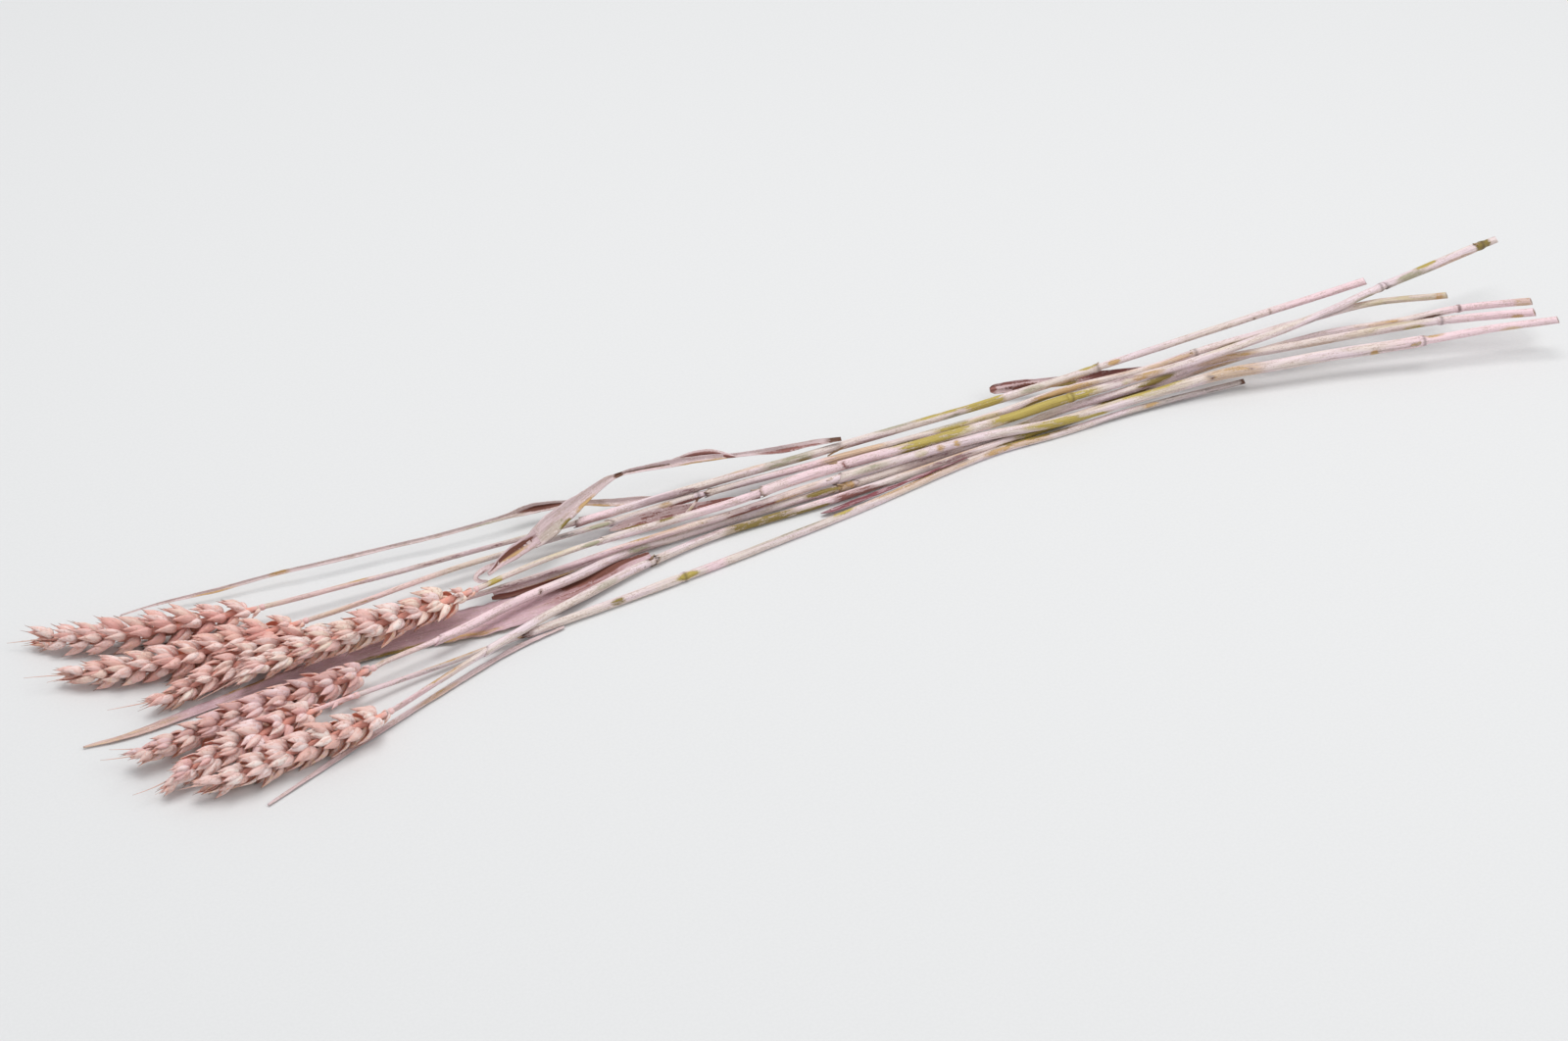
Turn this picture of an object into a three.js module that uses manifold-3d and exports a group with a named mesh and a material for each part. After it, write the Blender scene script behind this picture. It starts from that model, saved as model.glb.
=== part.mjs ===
// A loose bundle of dried wheat, lying down: seven straws with their ears, and the dry
// leaves that still hang on them. Millimetres, +Z up. The straws lie along X, with the cut
// ends at +X and the ears at -X. The origin is under the middle of the bundle, on the
// surface that it lies on.
import * as THREE from 'three';
import { mergeVertices } from 'three/addons/utils/BufferGeometryUtils.js';
import Module from 'manifold-3d';

const wasm = await Module();
wasm.setup();

// ---- driving dimensions, mm ----
const GAP = 0.3;            // clearance between neighbouring pieces
const STRAW_SIDES = 7;
const STRAW_STEP = 24;      // longest stretch of straw between two rings
const KNOT = 0.35;          // how far a knot stands out of its straw
const KNOT_HALF = 2.2;      // half the length of a knot
const BLADE = 0.64;         // thickness of a leaf
const BLADE_STEP = 14;      // length of one step along a leaf
const PITCH = 4.3;          // distance from one spikelet to the next along the ear
const HUSK = { length: 9.8, width: 5.2, depth: 4 };
const HUSK_SIDES = 4;
const BELLY = 0.4;          // where a husk is widest, as a share of its length
const HUSK_TIP = 2;         // longest point past the end of a husk
const HUSK_APART = 1.1;     // how far the feet of two husks stand from their middle
const LEAN = 24;            // degrees that a husk leans out from the ear
const SPREAD = 17;          // degrees between a husk and the middle of its spikelet
const UNEVEN = 9;           // degrees by which husks differ
const CORE = 2.3;           // radius of the dense middle of an ear
const CORE_SIDES = 6;
const RACHIS = 0.95;        // radius of the bare stalk of an ear
const AWN = 16;             // longest awn at the tip of an ear
const AWN_RADIUS = 0.4;
const AWN_ROOT = 2;         // how far past the last spikelet's foot the awns start
const AWN_FAN = 0.7;        // how wide the awns fan out
const AWNS = 4;
const GROUND = { length: 1000, width: 400, depth: 40 };

// ---- the straws ----
// route: from the cut end to the tip of the ear, [x, y, z].
// girth: [distance from the cut end, radius]. knots: distances from the cut end.
// earLength, roll of its two rows in degrees, bare: how far the rachis is bare at its foot.
const STRAWS = [
  {
    name: 'straw_1', ear: 'ear_1', paint: '#d9c6cb',
    route: [[262, 49, 24], [188, 52, 16], [110, 50, 11], [53, 47, 10], [-48, 44, 8.5],
      [-126, 41, 7.5], [-187, 40, 7], [-247, 39, 7.5], [-287, 42, 7], [-329, 56, 6]],
    girth: [[0, 1.8], [132, 1.45], [136, 1.7], [374, 1.6], [378, 1.05], [520, 0.95]],
    knots: [134], earLength: 88, roll: 128, bare: 0, seed: 11,
  },
  {
    name: 'straw_2', ear: 'ear_2', paint: '#d6c3c7',
    route: [[293, 30, 20], [260, 39, 19], [228, 41, 17], [184, 44, 13], [146, 45, 9],
      [108, 46, 8], [58, 42, 7], [-49, 42, 5.5], [-93, 39, 5.5], [-164, 34, 6.5],
      [-218, 26.6, 6.6], [-280, 22.4, 6.7], [-323, 30, 6]],
    girth: [[0, 1.5], [120, 1.6], [354, 1.4], [358, 1.65], [394, 1.55], [398, 1.15], [540, 0.95]],
    knots: [121, 356], earLength: 94, roll: 84, bare: 0, seed: 23,
  },
  {
    name: 'straw_3', ear: 'ear_3', paint: '#e0cdd0',
    route: [[330, -2, 17], [300, 6, 15], [270, 12, 13], [233, 20, 11], [202, 25, 10],
      [175, 29, 9], [138, 31, 6], [99, 29, 6], [63, 32, 6], [-1, 30, 5.5], [-56, 24, 6],
      [-99, 21, 6.5], [-128, 18, 6], [-173, 15, 6], [-219, 15.5, 6.4], [-257, 11.6, 6.3], [-295, 1, 5]],
    girth: [[0, 1.7], [60, 1.8], [64, 2.5], [130, 2.5], [200, 1.95], [336, 1.9],
      [340, 1.65], [400, 1.4], [440, 1.1], [560, 0.95]],
    knots: [62], earLength: 78, roll: 45, bare: 0, seed: 37,
  },
  {
    name: 'straw_4', ear: 'ear_4', paint: '#e3cfd3',
    route: [[330, 48, 30], [303, 45, 28], [261, 41, 24], [230, 38, 20], [178, 36, 15],
      [142, 39, 10.5], [104, 38, 9.7], [65, 35.2, 8.9], [1, 34.2, 8.2], [-27, 31, 9],
      [-55, 26, 10], [-97, 26, 8.5], [-134, 22, 9], [-174, 11, 11], [-220, 4.6, 11.8], [-263, 0.6, 10]],
    girth: [[0, 1.6], [6, 1.7], [12, 2], [100, 1.8], [220, 1.7], [224, 2], [368, 2.05],
      [372, 1.65], [440, 1.45], [444, 1.15], [560, 1]],
    knots: [9, 66], earLength: 99, roll: 68, bare: 0, seed: 41,
  },
  {
    name: 'straw_5', ear: 'ear_5', paint: '#dccacd',
    route: [[324, 7, 17], [289, 19, 15], [253, 27, 13], [207, 33, 12], [180, 38, 10],
      [141, 37, 7], [104, 39, 3.5], [64, 33.5, 1.9], [-2, 28, 2], [-56, 25, 2.2],
      [-99, 21, 2.8], [-122, 15, 3.7], [-152, 7, 6], [-179, -4, 7], [-207, -11, 8],
      [-218.7, -13.8, 7.7], [-263.3, -18.2, 6.9], [-308.8, -26.6, 6.7]],
    girth: [[0, 1.8], [180, 1.7], [328, 1.55], [332, 1.6], [430, 1.8], [518, 1.7], [522, 1], [560, 0.9]],
    knots: [42, 330], earLength: 96, roll: 42, bare: 0, seed: 53,
  },
  {
    name: 'straw_6', ear: 'ear_6', paint: '#d9c7c4',
    route: [[190, 28, 3], [137, 29, 2], [98, 27, 1.4], [60, 25, 1.35], [-9, 11, 1.4],
      [-83, -1, 1.8], [-151, -10, 2], [-200, -18, 3.5], [-241, -27.5, 7.8], [-271.7, -35.3, 7.6],
      [-301, -42, 6.4]],
    girth: [[0, 1.2], [80, 1.5], [240, 1.6], [280, 1.8], [344, 1.5], [348, 1.1], [460, 0.9]],
    knots: [276], earLength: 80, roll: 50, bare: 14, seed: 67,
  },
  {
    name: 'straw_7', ear: 'ear_7', paint: '#e2cfd0',
    route: [[328, 15, 17], [297, 25, 15], [270, 29, 13], [234, 37, 10], [183, 41, 5.5],
      [143, 39, 2.6], [101, 33, 2], [62, 29, 1.9], [-4, 22, 2], [-58, 19, 2], [-93, 12, 2.5],
      [-123, 2, 3.5], [-150, -9, 5.2], [-196, -29, 6], [-218, -39, 7], [-252, -45, 7], [-289, -52, 7]],
    girth: [[0, 1.7], [200, 1.6], [428, 1.6], [432, 1.75], [508, 1.5], [512, 1.1], [580, 0.95]],
    knots: [33, 430], earLength: 76, roll: 68, bare: 0, seed: 79,
  },
];

// ---- the leaves ----
// spine: [x, y, z, half width, roll of the blade in degrees, how far the midrib is sunk].
const LEAVES = [
  {
    name: 'leaf_long', paint: '#c3aca3',
    spine: [[-69, 44, 11.6, 1.2, 60, 0.2], [-87, 49, 9, 1.6, 90, 0.3], [-104, 53, 7, 2.2, 90, 0.5],
      [-121, 58, 7, 3, 120, 1.2], [-144, 57, 7, 2, 128, 1], [-186, 58, 6, 1.4, 128, 0.7],
      [-226, 58, 6, 1.3, 128, 0.7], [-257, 60, 4.5, 1.4, 120, 0.6], [-280, 62, 3.5, 1.2, 100, 0.4],
      [-294, 62, 2.5, 0.4, 90, 0]],
  },
  {
    name: 'leaf_twisted', paint: '#d2bcbf',
    spine: [[4, 46, 12.3, 1.4, 60, 0.2], [-19, 49, 13, 2.2, 60, 0.6], [-38, 51, 14, 1.6, 30, 0.5],
      [-52, 54, 15, 2.6, 60, 1], [-69, 53, 16, 2, 90, 0.8], [-85, 55, 16, 2, 110, 0.5],
      [-106, 48, 16, 3.2, 110, 0.4], [-116, 42, 16, 4.6, 100, 0.4], [-126, 35, 15, 5.2, 90, 0.5],
      [-135, 30, 15, 4.6, 90, 0.8], [-144, 26, 15, 3.6, 80, 1], [-155, 19, 14.5, 3, 60, 1],
      [-161, 15, 14, 2.2, 50, 0.6]],
  },
  {
    name: 'leaf_broad', paint: '#c6a5ab',
    spine: [[-91, 17, 2, 1, 0, 0], [-102, 15.5, 1.6, 1.8, 0, 0], [-119, 11, 1.1, 4.6, 0, 0.1],
      [-141, 8.8, 1.1, 6.9, 0, 0.2], [-162, 6, 1.1, 8, 0, 0.2], [-181, 7, 1.1, 8.4, 0, 0.2],
      [-201, 7, 1.1, 7.6, 0, 0.3], [-218, 5, 1.1, 6.4, 0, 0.3], [-238, 3, 1.1, 5.2, 0, 0.3],
      [-258, 1, 1.1, 4, 0, 0.3], [-278, -2, 1.1, 3.2, 0, 0.3], [-304, -6, 1, 2.2, 0, 0.1],
      [-322, -6, 0.9, 0.4, 0, 0]],
  },
  {
    name: 'leaf_folded', paint: '#d8bcbf',
    spine: [[-103, 24.2, 3.6, 0.7, 115, 0.1], [-115, 22, 3, 1.2, 115, 0.4],
      [-128, 19.4, 2.9, 1.4, 115, 0.7], [-142, 16.6, 3.1, 1.5, 105, 0.8], [-150, 16, 3.1, 1.5, 100, 0.7], [-157, 16.4, 3.2, 1.1, 100, 0.4]],
  },
  {
    name: 'leaf_between', paint: '#b48f8b',
    spine: [[-33, 32.8, 8.3, 0.6, 40, 0], [-52, 35, 7.5, 2, 20, 0.2], [-69, 33.5, 6.6, 3, 20, 0.3],
      [-85, 33, 6, 2.6, 20, 0.3], [-98, 34, 5.6, 1.6, 20, 0.2], [-108, 35, 5.4, 0.5, 20, 0]],
  },
  {
    name: 'leaf_red', paint: '#9a5f66',
    spine: [[54, 24.2, 3.7, 0.7, 30, 0], [32, 20.9, 3.2, 1.3, 20, 0.2], [9, 17.6, 2.6, 1.6, 10, 0.2],
      [-11, 15.6, 1.6, 1.5, 10, 0.2], [-17, 15.4, 1.6, 0.6, 10, 0]],
  },
  {
    name: 'leaf_stub', paint: '#8e5f55',
    spine: [[150, 47.2, 8.2, 0.9, 60, 0.2], [130, 52, 6.6, 1.8, 60, 0.3], [115, 55, 6, 1.8, 60, 0.5],
      [98, 59, 6, 2, 70, 0.7], [84, 62, 5.6, 1.3, 80, 0.5]],
  },
  {
    name: 'leaf_thin', paint: '#e4dadb',
    spine: [[-137, -10.5, 1, 0.6, 0, 0], [-161, -16, 0.8, 1.2, 0, 0.1], [-196, -30, 0.8, 1.3, 0, 0.1],
      [-237, -48, 0.8, 1.2, 0, 0.1], [-267, -62, 0.7, 0.5, 0, 0]],
  },
];

const EAR_PAINT = '#e6c3bc';

// ---- geometry helpers ----
const vec = (x, y, z) => new THREE.Vector3(x, y, z);
const lerp = THREE.MathUtils.lerp;
const rad = THREE.MathUtils.degToRad;

// A repeatable random number from 0 to 1.
function randomFrom(seed) {
  let state = seed >>> 0;
  return () => {
    state = (state + 0x6d2b79f5) >>> 0;
    let t = state;
    t = Math.imul(t ^ (t >>> 15), t | 1);
    t ^= t + Math.imul(t ^ (t >>> 7), t | 61);
    return ((t ^ (t >>> 14)) >>> 0) / 4294967296;
  };
}

function smoothCurve(points) {
  return new THREE.CatmullRomCurve3(points.map((p) => vec(p[0], p[1], p[2])), false, 'catmullrom', 0.5);
}

// Values listed as [distance, value], read in between.
function tableAt(table, s) {
  if (s <= table[0][0]) return table[0][1];
  for (let i = 1; i < table.length; i++) {
    const [s0, v0] = table[i - 1];
    const [s1, v1] = table[i];
    if (s <= s1) return lerp(v0, v1, (s - s0) / (s1 - s0));
  }
  return table[table.length - 1][1];
}

// The frame of a route at one place: along it, level across it, and up from it.
function frameAt(along) {
  const across = vec(0, 0, 1).cross(along).normalize();
  const up = along.clone().cross(across).normalize();
  return { along, across, up };
}

// Takes a shape that stands along +Y and lays it along a curve, Y becoming distance.
function bendAlong(geometry, curve, total, from) {
  const position = geometry.getAttribute('position');
  for (let i = 0; i < position.count; i++) {
    const s = Math.min(Math.max((position.getY(i) + from) / total, 0), 1);
    const { across, up } = frameAt(curve.getTangentAt(s));
    const place = curve.getPointAt(s)
      .addScaledVector(across, -position.getX(i))
      .addScaledVector(up, position.getZ(i));
    position.setXYZ(i, place.x, place.y, place.z);
  }
  return geometry;
}

function closed(geometry) {
  const bare = geometry.clone();
  bare.deleteAttribute('normal');
  bare.deleteAttribute('uv');
  return mergeVertices(bare, 1e-4);
}

function solidOf(geometry) {
  const g = closed(geometry);
  return new wasm.Manifold(new wasm.Mesh({
    numProp: 3,
    vertProperties: new Float32Array(g.getAttribute('position').array),
    triVerts: new Uint32Array(g.index.array),
  }));
}

function geometryOf(solid) {
  const mesh = solid.getMesh();
  const geometry = new THREE.BufferGeometry();
  geometry.setAttribute('position', new THREE.BufferAttribute(new Float32Array(mesh.vertProperties), 3));
  geometry.setIndex(new THREE.BufferAttribute(new Uint32Array(mesh.triVerts), 1));
  return geometry;
}

// Everything below the surface, to cut the small flats that the pieces rest on.
const ground = solidOf(new THREE.BoxGeometry(GROUND.length, GROUND.width, GROUND.depth)
  .translate(0, 0, -GROUND.depth / 2));

// Cuts a piece level with the surface and keeps its one outer skin.
function laidFlat(solid) {
  const skins = solid.subtract(ground).decompose();
  return geometryOf(skins.reduce((big, skin) => (skin.volume() > big.volume() ? skin : big)));
}

// ---- a straw ----
function strawProfile(straw, length) {
  const stops = new Set([0, length]);
  for (const [s] of straw.girth) if (s < length) stops.add(s);
  for (const k of straw.knots) for (const d of [-KNOT_HALF, 0, KNOT_HALF]) stops.add(k + d);
  let last = 0;
  for (const s of [...stops].sort((a, b) => a - b)) {
    const parts = Math.ceil((s - last) / STRAW_STEP);
    for (let i = 1; i < parts; i++) stops.add(lerp(last, s, i / parts));
    last = s;
  }
  const radius = (s) => tableAt(straw.girth, s) + (straw.knots.includes(s) ? KNOT : 0);
  const rings = [...stops].sort((a, b) => a - b).map((s) => new THREE.Vector2(radius(s), s));
  return [new THREE.Vector2(0, 0), ...rings, new THREE.Vector2(0, length)];
}

function strawSolid(straw, curve, total) {
  const length = total - straw.earLength - GAP;
  const shape = new THREE.LatheGeometry(strawProfile(straw, length), STRAW_SIDES);
  return laidFlat(solidOf(bendAlong(shape, curve, total, 0)));
}

// ---- an ear ----
// A husk: a pointed scale along +Y, broad in X and thinner in Z.
function huskShape(size, tip) {
  const outline = [[0, 0], [0.5, HUSK.length * BELLY * size], [0, (HUSK.length + tip) * size]];
  const points = outline.map(([r, y]) => new THREE.Vector2(r, y));
  return new THREE.LatheGeometry(points, HUSK_SIDES).scale(HUSK.width * size, 1, HUSK.depth * size);
}

// Turns a shape that stands along +Y to a direction and sets its foot at a place.
function setOn(geometry, foot, direction, outward) {
  const z = outward.clone().addScaledVector(direction, -outward.dot(direction)).normalize();
  const x = direction.clone().cross(z);
  const basis = new THREE.Matrix4().makeBasis(x, direction, z).setPosition(foot);
  return geometry.applyMatrix4(basis);
}

// Two husks side by side, leaning out from the ear and a little apart.
function spikelet({ foot, along, out, side }, size, random) {
  const jitter = () => rad((random() - 0.5) * UNEVEN);
  return [-1, 1].map((hand) => {
    const lean = rad(LEAN) + jitter();
    const spread = rad(SPREAD * hand) + jitter();
    const direction = along.clone().multiplyScalar(Math.cos(lean) * Math.cos(spread))
      .addScaledVector(out, Math.sin(lean))
      .addScaledVector(side, Math.sin(spread))
      .normalize();
    const place = foot.clone().addScaledVector(side, HUSK_APART * hand * size);
    return solidOf(setOn(huskShape(size, HUSK_TIP * random()), place, direction, out));
  });
}

// The awns that fan out from the last spikelet.
function tipAwns({ foot, along, out, side }, random) {
  const root = foot.clone().addScaledVector(along, AWN_ROOT);
  const fan = () => (random() - 0.5) * AWN_FAN;
  return Array.from({ length: AWNS }, () => {
    const direction = along.clone().addScaledVector(out, fan()).addScaledVector(side, fan()).normalize();
    const length = AWN * lerp(0.55, 1, random());
    const awn = new THREE.ConeGeometry(AWN_RADIUS, length, 3).translate(0, AWN / 4, 0);
    return solidOf(setOn(awn, root, direction, out));
  });
}

// The dense middle of an ear, thin where the rachis is bare and again at the tip.
function coreSolid(straw, curve, total, reach) {
  const outline = [[0, 0], [RACHIS, 0], [RACHIS, straw.bare + 1], [CORE, straw.bare + 8],
    [CORE * 0.8, reach * 0.75], [RACHIS * 0.85, reach], [0, reach + 4]];
  const shape = new THREE.LatheGeometry(outline.map(([r, s]) => new THREE.Vector2(r, s)), CORE_SIDES);
  return solidOf(bendAlong(shape, curve, total, total - straw.earLength));
}

// Where spikelet i of an ear sits: they alternate between the two rows, and the last one
// is turned across them.
function seatAt(straw, curve, total, reach, i, last, random) {
  const t = i / last;
  const s = total - straw.earLength + lerp(straw.bare + 0.6, reach, t);
  const { along, across, up } = frameAt(curve.getTangentAt(s / total));
  const turn = rad(straw.roll + (i === last ? 90 : 0)) + (random() - 0.5) * 0.16;
  const out = across.clone().multiplyScalar(Math.cos(turn)).addScaledVector(up, Math.sin(turn));
  if (i % 2 === 0) out.negate();
  const side = along.clone().cross(out);
  const foot = curve.getPointAt(s / total).addScaledVector(out, 0.5 * Math.sin(Math.PI * t));
  return { foot, along, out, side };
}

function earSolid(straw, curve, total) {
  const random = randomFrom(straw.seed);
  const reach = straw.earLength - HUSK.length * 0.9;
  const last = Math.round((reach - straw.bare) / PITCH) - 1;
  const parts = [coreSolid(straw, curve, total, reach)];
  for (let i = 0; i <= last; i++) {
    const seat = seatAt(straw, curve, total, reach, i, last, random);
    const size = 0.8 + 0.26 * Math.sin(Math.PI * Math.min(1, 0.12 + 0.95 * i / last));
    parts.push(...spikelet(seat, size, random));
    if (i === last) parts.push(...tipAwns(seat, random));
  }
  return laidFlat(parts.reduce((whole, part) => whole.add(part)));
}

// ---- a leaf ----
// A thin blade along its spine: both faces have the same split, so that they never cross.
function leafSolid(leaf) {
  const curve = smoothCurve(leaf.spine);
  const knots = leaf.spine.length - 1;
  const steps = Math.max(knots, Math.round(curve.getLength() / BLADE_STEP));
  const value = (u, k) => {
    const i = Math.min(Math.floor(u * knots), knots - 1);
    return lerp(leaf.spine[i][k], leaf.spine[i + 1][k], u * knots - i);
  };
  const columns = 3;
  const points = [];
  for (let j = 0; j <= steps; j++) {
    const u = j / steps;
    const { along, across, up } = frameAt(curve.getTangent(u));
    const turn = rad(value(u, 4));
    const wide = across.clone().multiplyScalar(Math.cos(turn)).addScaledVector(up, Math.sin(turn));
    const face = along.clone().cross(wide);
    for (const skin of [1, -1]) {
      for (let c = 0; c < columns; c++) {
        const w = c - 1;
        points.push(curve.getPoint(u)
          .addScaledVector(wide, w * value(u, 3))
          .addScaledVector(face, skin * BLADE / 2 - (w === 0 ? value(u, 5) : 0)));
      }
    }
  }
  return laidFlat(solidOf(bladeMesh(points, steps, columns)));
}

function bladeMesh(points, steps, columns) {
  const id = (j, skin, c) => (j * 2 + skin) * columns + c;
  const index = [];
  const quad = (a, b, c, d) => index.push(a, b, c, a, c, d);
  for (let j = 0; j < steps; j++) {
    for (let c = 0; c < columns - 1; c++) {
      const [a, b, d, e] = [[j, c], [j, c + 1], [j + 1, c + 1], [j + 1, c]];
      const top = (p) => id(p[0], 0, p[1]);
      const low = (p) => id(p[0], 1, p[1]);
      index.push(top(a), top(d), top(b), top(a), top(e), top(d));
      index.push(low(a), low(b), low(d), low(a), low(d), low(e));
    }
    quad(id(j, 0, 0), id(j, 1, 0), id(j + 1, 1, 0), id(j + 1, 0, 0));
    const c = columns - 1;
    quad(id(j, 1, c), id(j, 0, c), id(j + 1, 0, c), id(j + 1, 1, c));
  }
  for (let c = 0; c < columns - 1; c++) {
    quad(id(0, 0, c), id(0, 0, c + 1), id(0, 1, c + 1), id(0, 1, c));
    quad(id(steps, 1, c), id(steps, 1, c + 1), id(steps, 0, c + 1), id(steps, 0, c));
  }
  const geometry = new THREE.BufferGeometry();
  const flat = points.flatMap((p) => [p.x, p.y, p.z]);
  geometry.setAttribute('position', new THREE.Float32BufferAttribute(flat, 3));
  geometry.setIndex(index);
  return geometry;
}

// ---- the bundle ----
function piece(name, geometry, colour) {
  const flat = geometry.toNonIndexed();
  flat.computeVertexNormals();
  const material = new THREE.MeshStandardMaterial({ color: colour, roughness: 0.9, metalness: 0 });
  const mesh = new THREE.Mesh(flat, material);
  mesh.name = name;
  return mesh;
}

const bundle = new THREE.Group();
bundle.name = 'dried_wheat_bundle';
for (const straw of STRAWS) {
  const curve = smoothCurve(straw.route);
  curve.arcLengthDivisions = 600;
  const total = curve.getLength();
  bundle.add(piece(straw.name, strawSolid(straw, curve, total), straw.paint));
  bundle.add(piece(straw.ear, earSolid(straw, curve, total), EAR_PAINT));
}
for (const leaf of LEAVES) bundle.add(piece(leaf.name, leafSolid(leaf), leaf.paint));

export default bundle;
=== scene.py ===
"""A loose bundle of dried wheat, lying down.

Seven straws with their ears, and the dry leaves that still hang on them, are dipped in a chalky
pink paint that missed patches of the straw. Lengths are in millimetres until a piece is made.
Straws run along X, ears at -X, +Z is up."""
import functools
import math

import bmesh
import bpy
import numpy as np
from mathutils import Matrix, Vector


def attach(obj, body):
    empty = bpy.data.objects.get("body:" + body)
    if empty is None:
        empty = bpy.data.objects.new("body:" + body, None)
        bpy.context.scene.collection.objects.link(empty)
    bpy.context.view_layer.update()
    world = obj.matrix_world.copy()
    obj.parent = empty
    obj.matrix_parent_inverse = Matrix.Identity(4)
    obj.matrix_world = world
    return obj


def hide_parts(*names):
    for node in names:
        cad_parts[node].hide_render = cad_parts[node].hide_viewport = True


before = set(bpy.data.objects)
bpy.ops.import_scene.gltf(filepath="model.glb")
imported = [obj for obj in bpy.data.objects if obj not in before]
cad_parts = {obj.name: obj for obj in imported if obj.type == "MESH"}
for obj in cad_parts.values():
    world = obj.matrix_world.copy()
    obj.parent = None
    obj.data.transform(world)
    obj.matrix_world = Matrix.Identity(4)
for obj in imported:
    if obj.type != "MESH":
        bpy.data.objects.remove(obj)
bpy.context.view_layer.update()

MM = 0.001
TAU = 2 * math.pi

# ---- the camera, for a picture 1600 wide and 1062 high ----
CAMERA_AT = (-360.5, -755.0, 656.9)
CAMERA_AIM = (-32.0, 19.0, 0.0)
LENS = 60.0
SENSOR = 36.0

# ---- studio ----
FLOOR_REACH = 4.0           # metres from the middle
FLOOR_COLOURS = ("#dedede", "#dcdcdc")
WORLD_COLOUR = "#eef1f4"
WORLD_STRENGTH = 0.66
# name, place in metres, power in watts, size, colour
LIGHTS = [("overhead", (0.0, 0.25, 2.0), 23.0, 1.2, (1, 0.99, 0.98)),
          ("side", (1.2, -0.7, 1.1), 4.6, 0.9, (1, 0.99, 0.97))]

# ---- straws ----
STRAW_SIDES = 20
STRAW_STEP = 1.6            # distance between two rings of a straw
INTO_EAR = 1.5              # how far a straw runs on into its ear
OUT_OF_ROUND = 0.05         # how oval a straw is, as a share of its radius
DENTS = (17, 0.03), (5, 0.015)          # length and height of its dents
BENDS = 60, 0.12            # length and height of its small bends
KNOT = 0.22                 # how far a knot stands out
KNOT_HALF = 1.3             # half its length
KNOT_DARK = 0.5
NECK = 0.12                 # how far a straw is drawn in beside a knot
WALL = 0.5                  # wall of the hollow straw at its cut end, as a share of its radius
RIM = 0.4                   # how far down the wall's inner edge lies
HOLLOW = 14.0               # how deep the hollow is modelled
# painted shade inside the hollow of a cut end
HOLLOW_SHADE = 0.6
SLANT = 0.6                 # slope of the cut, as a share of the radius
SLANT_SIDE = 1.1            # where it is cut back most, in radians round the straw
UPPER_BARE = 0.33           # how bare a straw is above its last sheath
SHEATH = 0.16               # thickness of the leaf sheath rolled round a straw
SHEATH_GAP = 0.12           # between a straw and its sheath, and again at the lap
SHEATH_LAP = 0.5            # radians by which a sheath laps over itself
SHEATH_WAVES = (40, 0.05), (13, 0.02)
SHEATH_STEP = 2.0
SHEATH_COLUMNS = 22
MOUTH_SLANT = 1.6           # how far the mouth of a sheath slopes
MOUTH_TEAR = 0.7            # how deep its tears are
SCRAP_ROWS, SCRAP_COLUMNS = 9, 5
APART = 37.0                # keeps the patterns of two straws apart

# ---- ears, by the rule of the solids, with a thinner middle under open husks ----
PITCH = 4.3                 # distance from one spikelet to the next
HUSK_LENGTH = 9.8
FOOT_GAP = 0.6              # from the bare foot of an ear to its first spikelet
BULGE = 0.5                 # how far the feet of spikelets stand out half way up
TURN_PLAY = 0.17            # radians by which a spikelet is turned out of its row
SIZE_PLAY = 0.06            # share by which it is larger or smaller
HUSK_PLAY = 0.1             # the same for each measure of a husk
LEAN_PLAY, SPREAD_PLAY = 6, 7           # degrees by which a husk leans and spreads
SHUT = 150                  # degrees that a shut husk wraps round: the first two and the last
SHUT_FROM = 0.86            # share of the ear from which they are shut
CORE = 1.4                  # radius of the dense middle
CORE_SIDES = 12
CORE_STEP = 0.9
CORE_COAT = "#e6c6c6"
RACHIS = 0.95               # radius of the bare stalk of an ear
FLAP_COAT = "#e9c6c8"       # the stubs of spikelets on it
HUSK_COLUMNS = 9            # points across a husk, on each of its faces
HUSK_THICK = 0.2
HUSK_INSIDE = 0.65          # how much of its red a husk shows inside: its own colour, warmed as a painted glow
KEEL = 0.2                  # how far a keel stands out, as a share of a husk's depth
GRAIN_SIDES = 6
GRAIN_COAT = "#e8bfb4"
AWN_ROWS, AWN_SIDES = 14, 5
AWN_TIP, AWN_FOOT = 0.06, 0.22          # a bristle's radius at its tip, and what its foot adds
AWN_COAT = "#d9bcae"

# ---- leaves ----
LEAF_STEP = 1.5
LEAF_COLUMNS = 11
LEAF_THICK = 0.22
LEAF_LEAST = 0.15           # half width at a tip
LEAF_EDGE = (23, 0.05), (7, 0.03)       # length and height of the waves in its width
LEAF_WAVES = (19, 0.12), (8, 0.05)      # and of those in its face, towards its edges
TILTED = -52                # roll of a blade that leans back on its lower edge, in degrees

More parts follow.
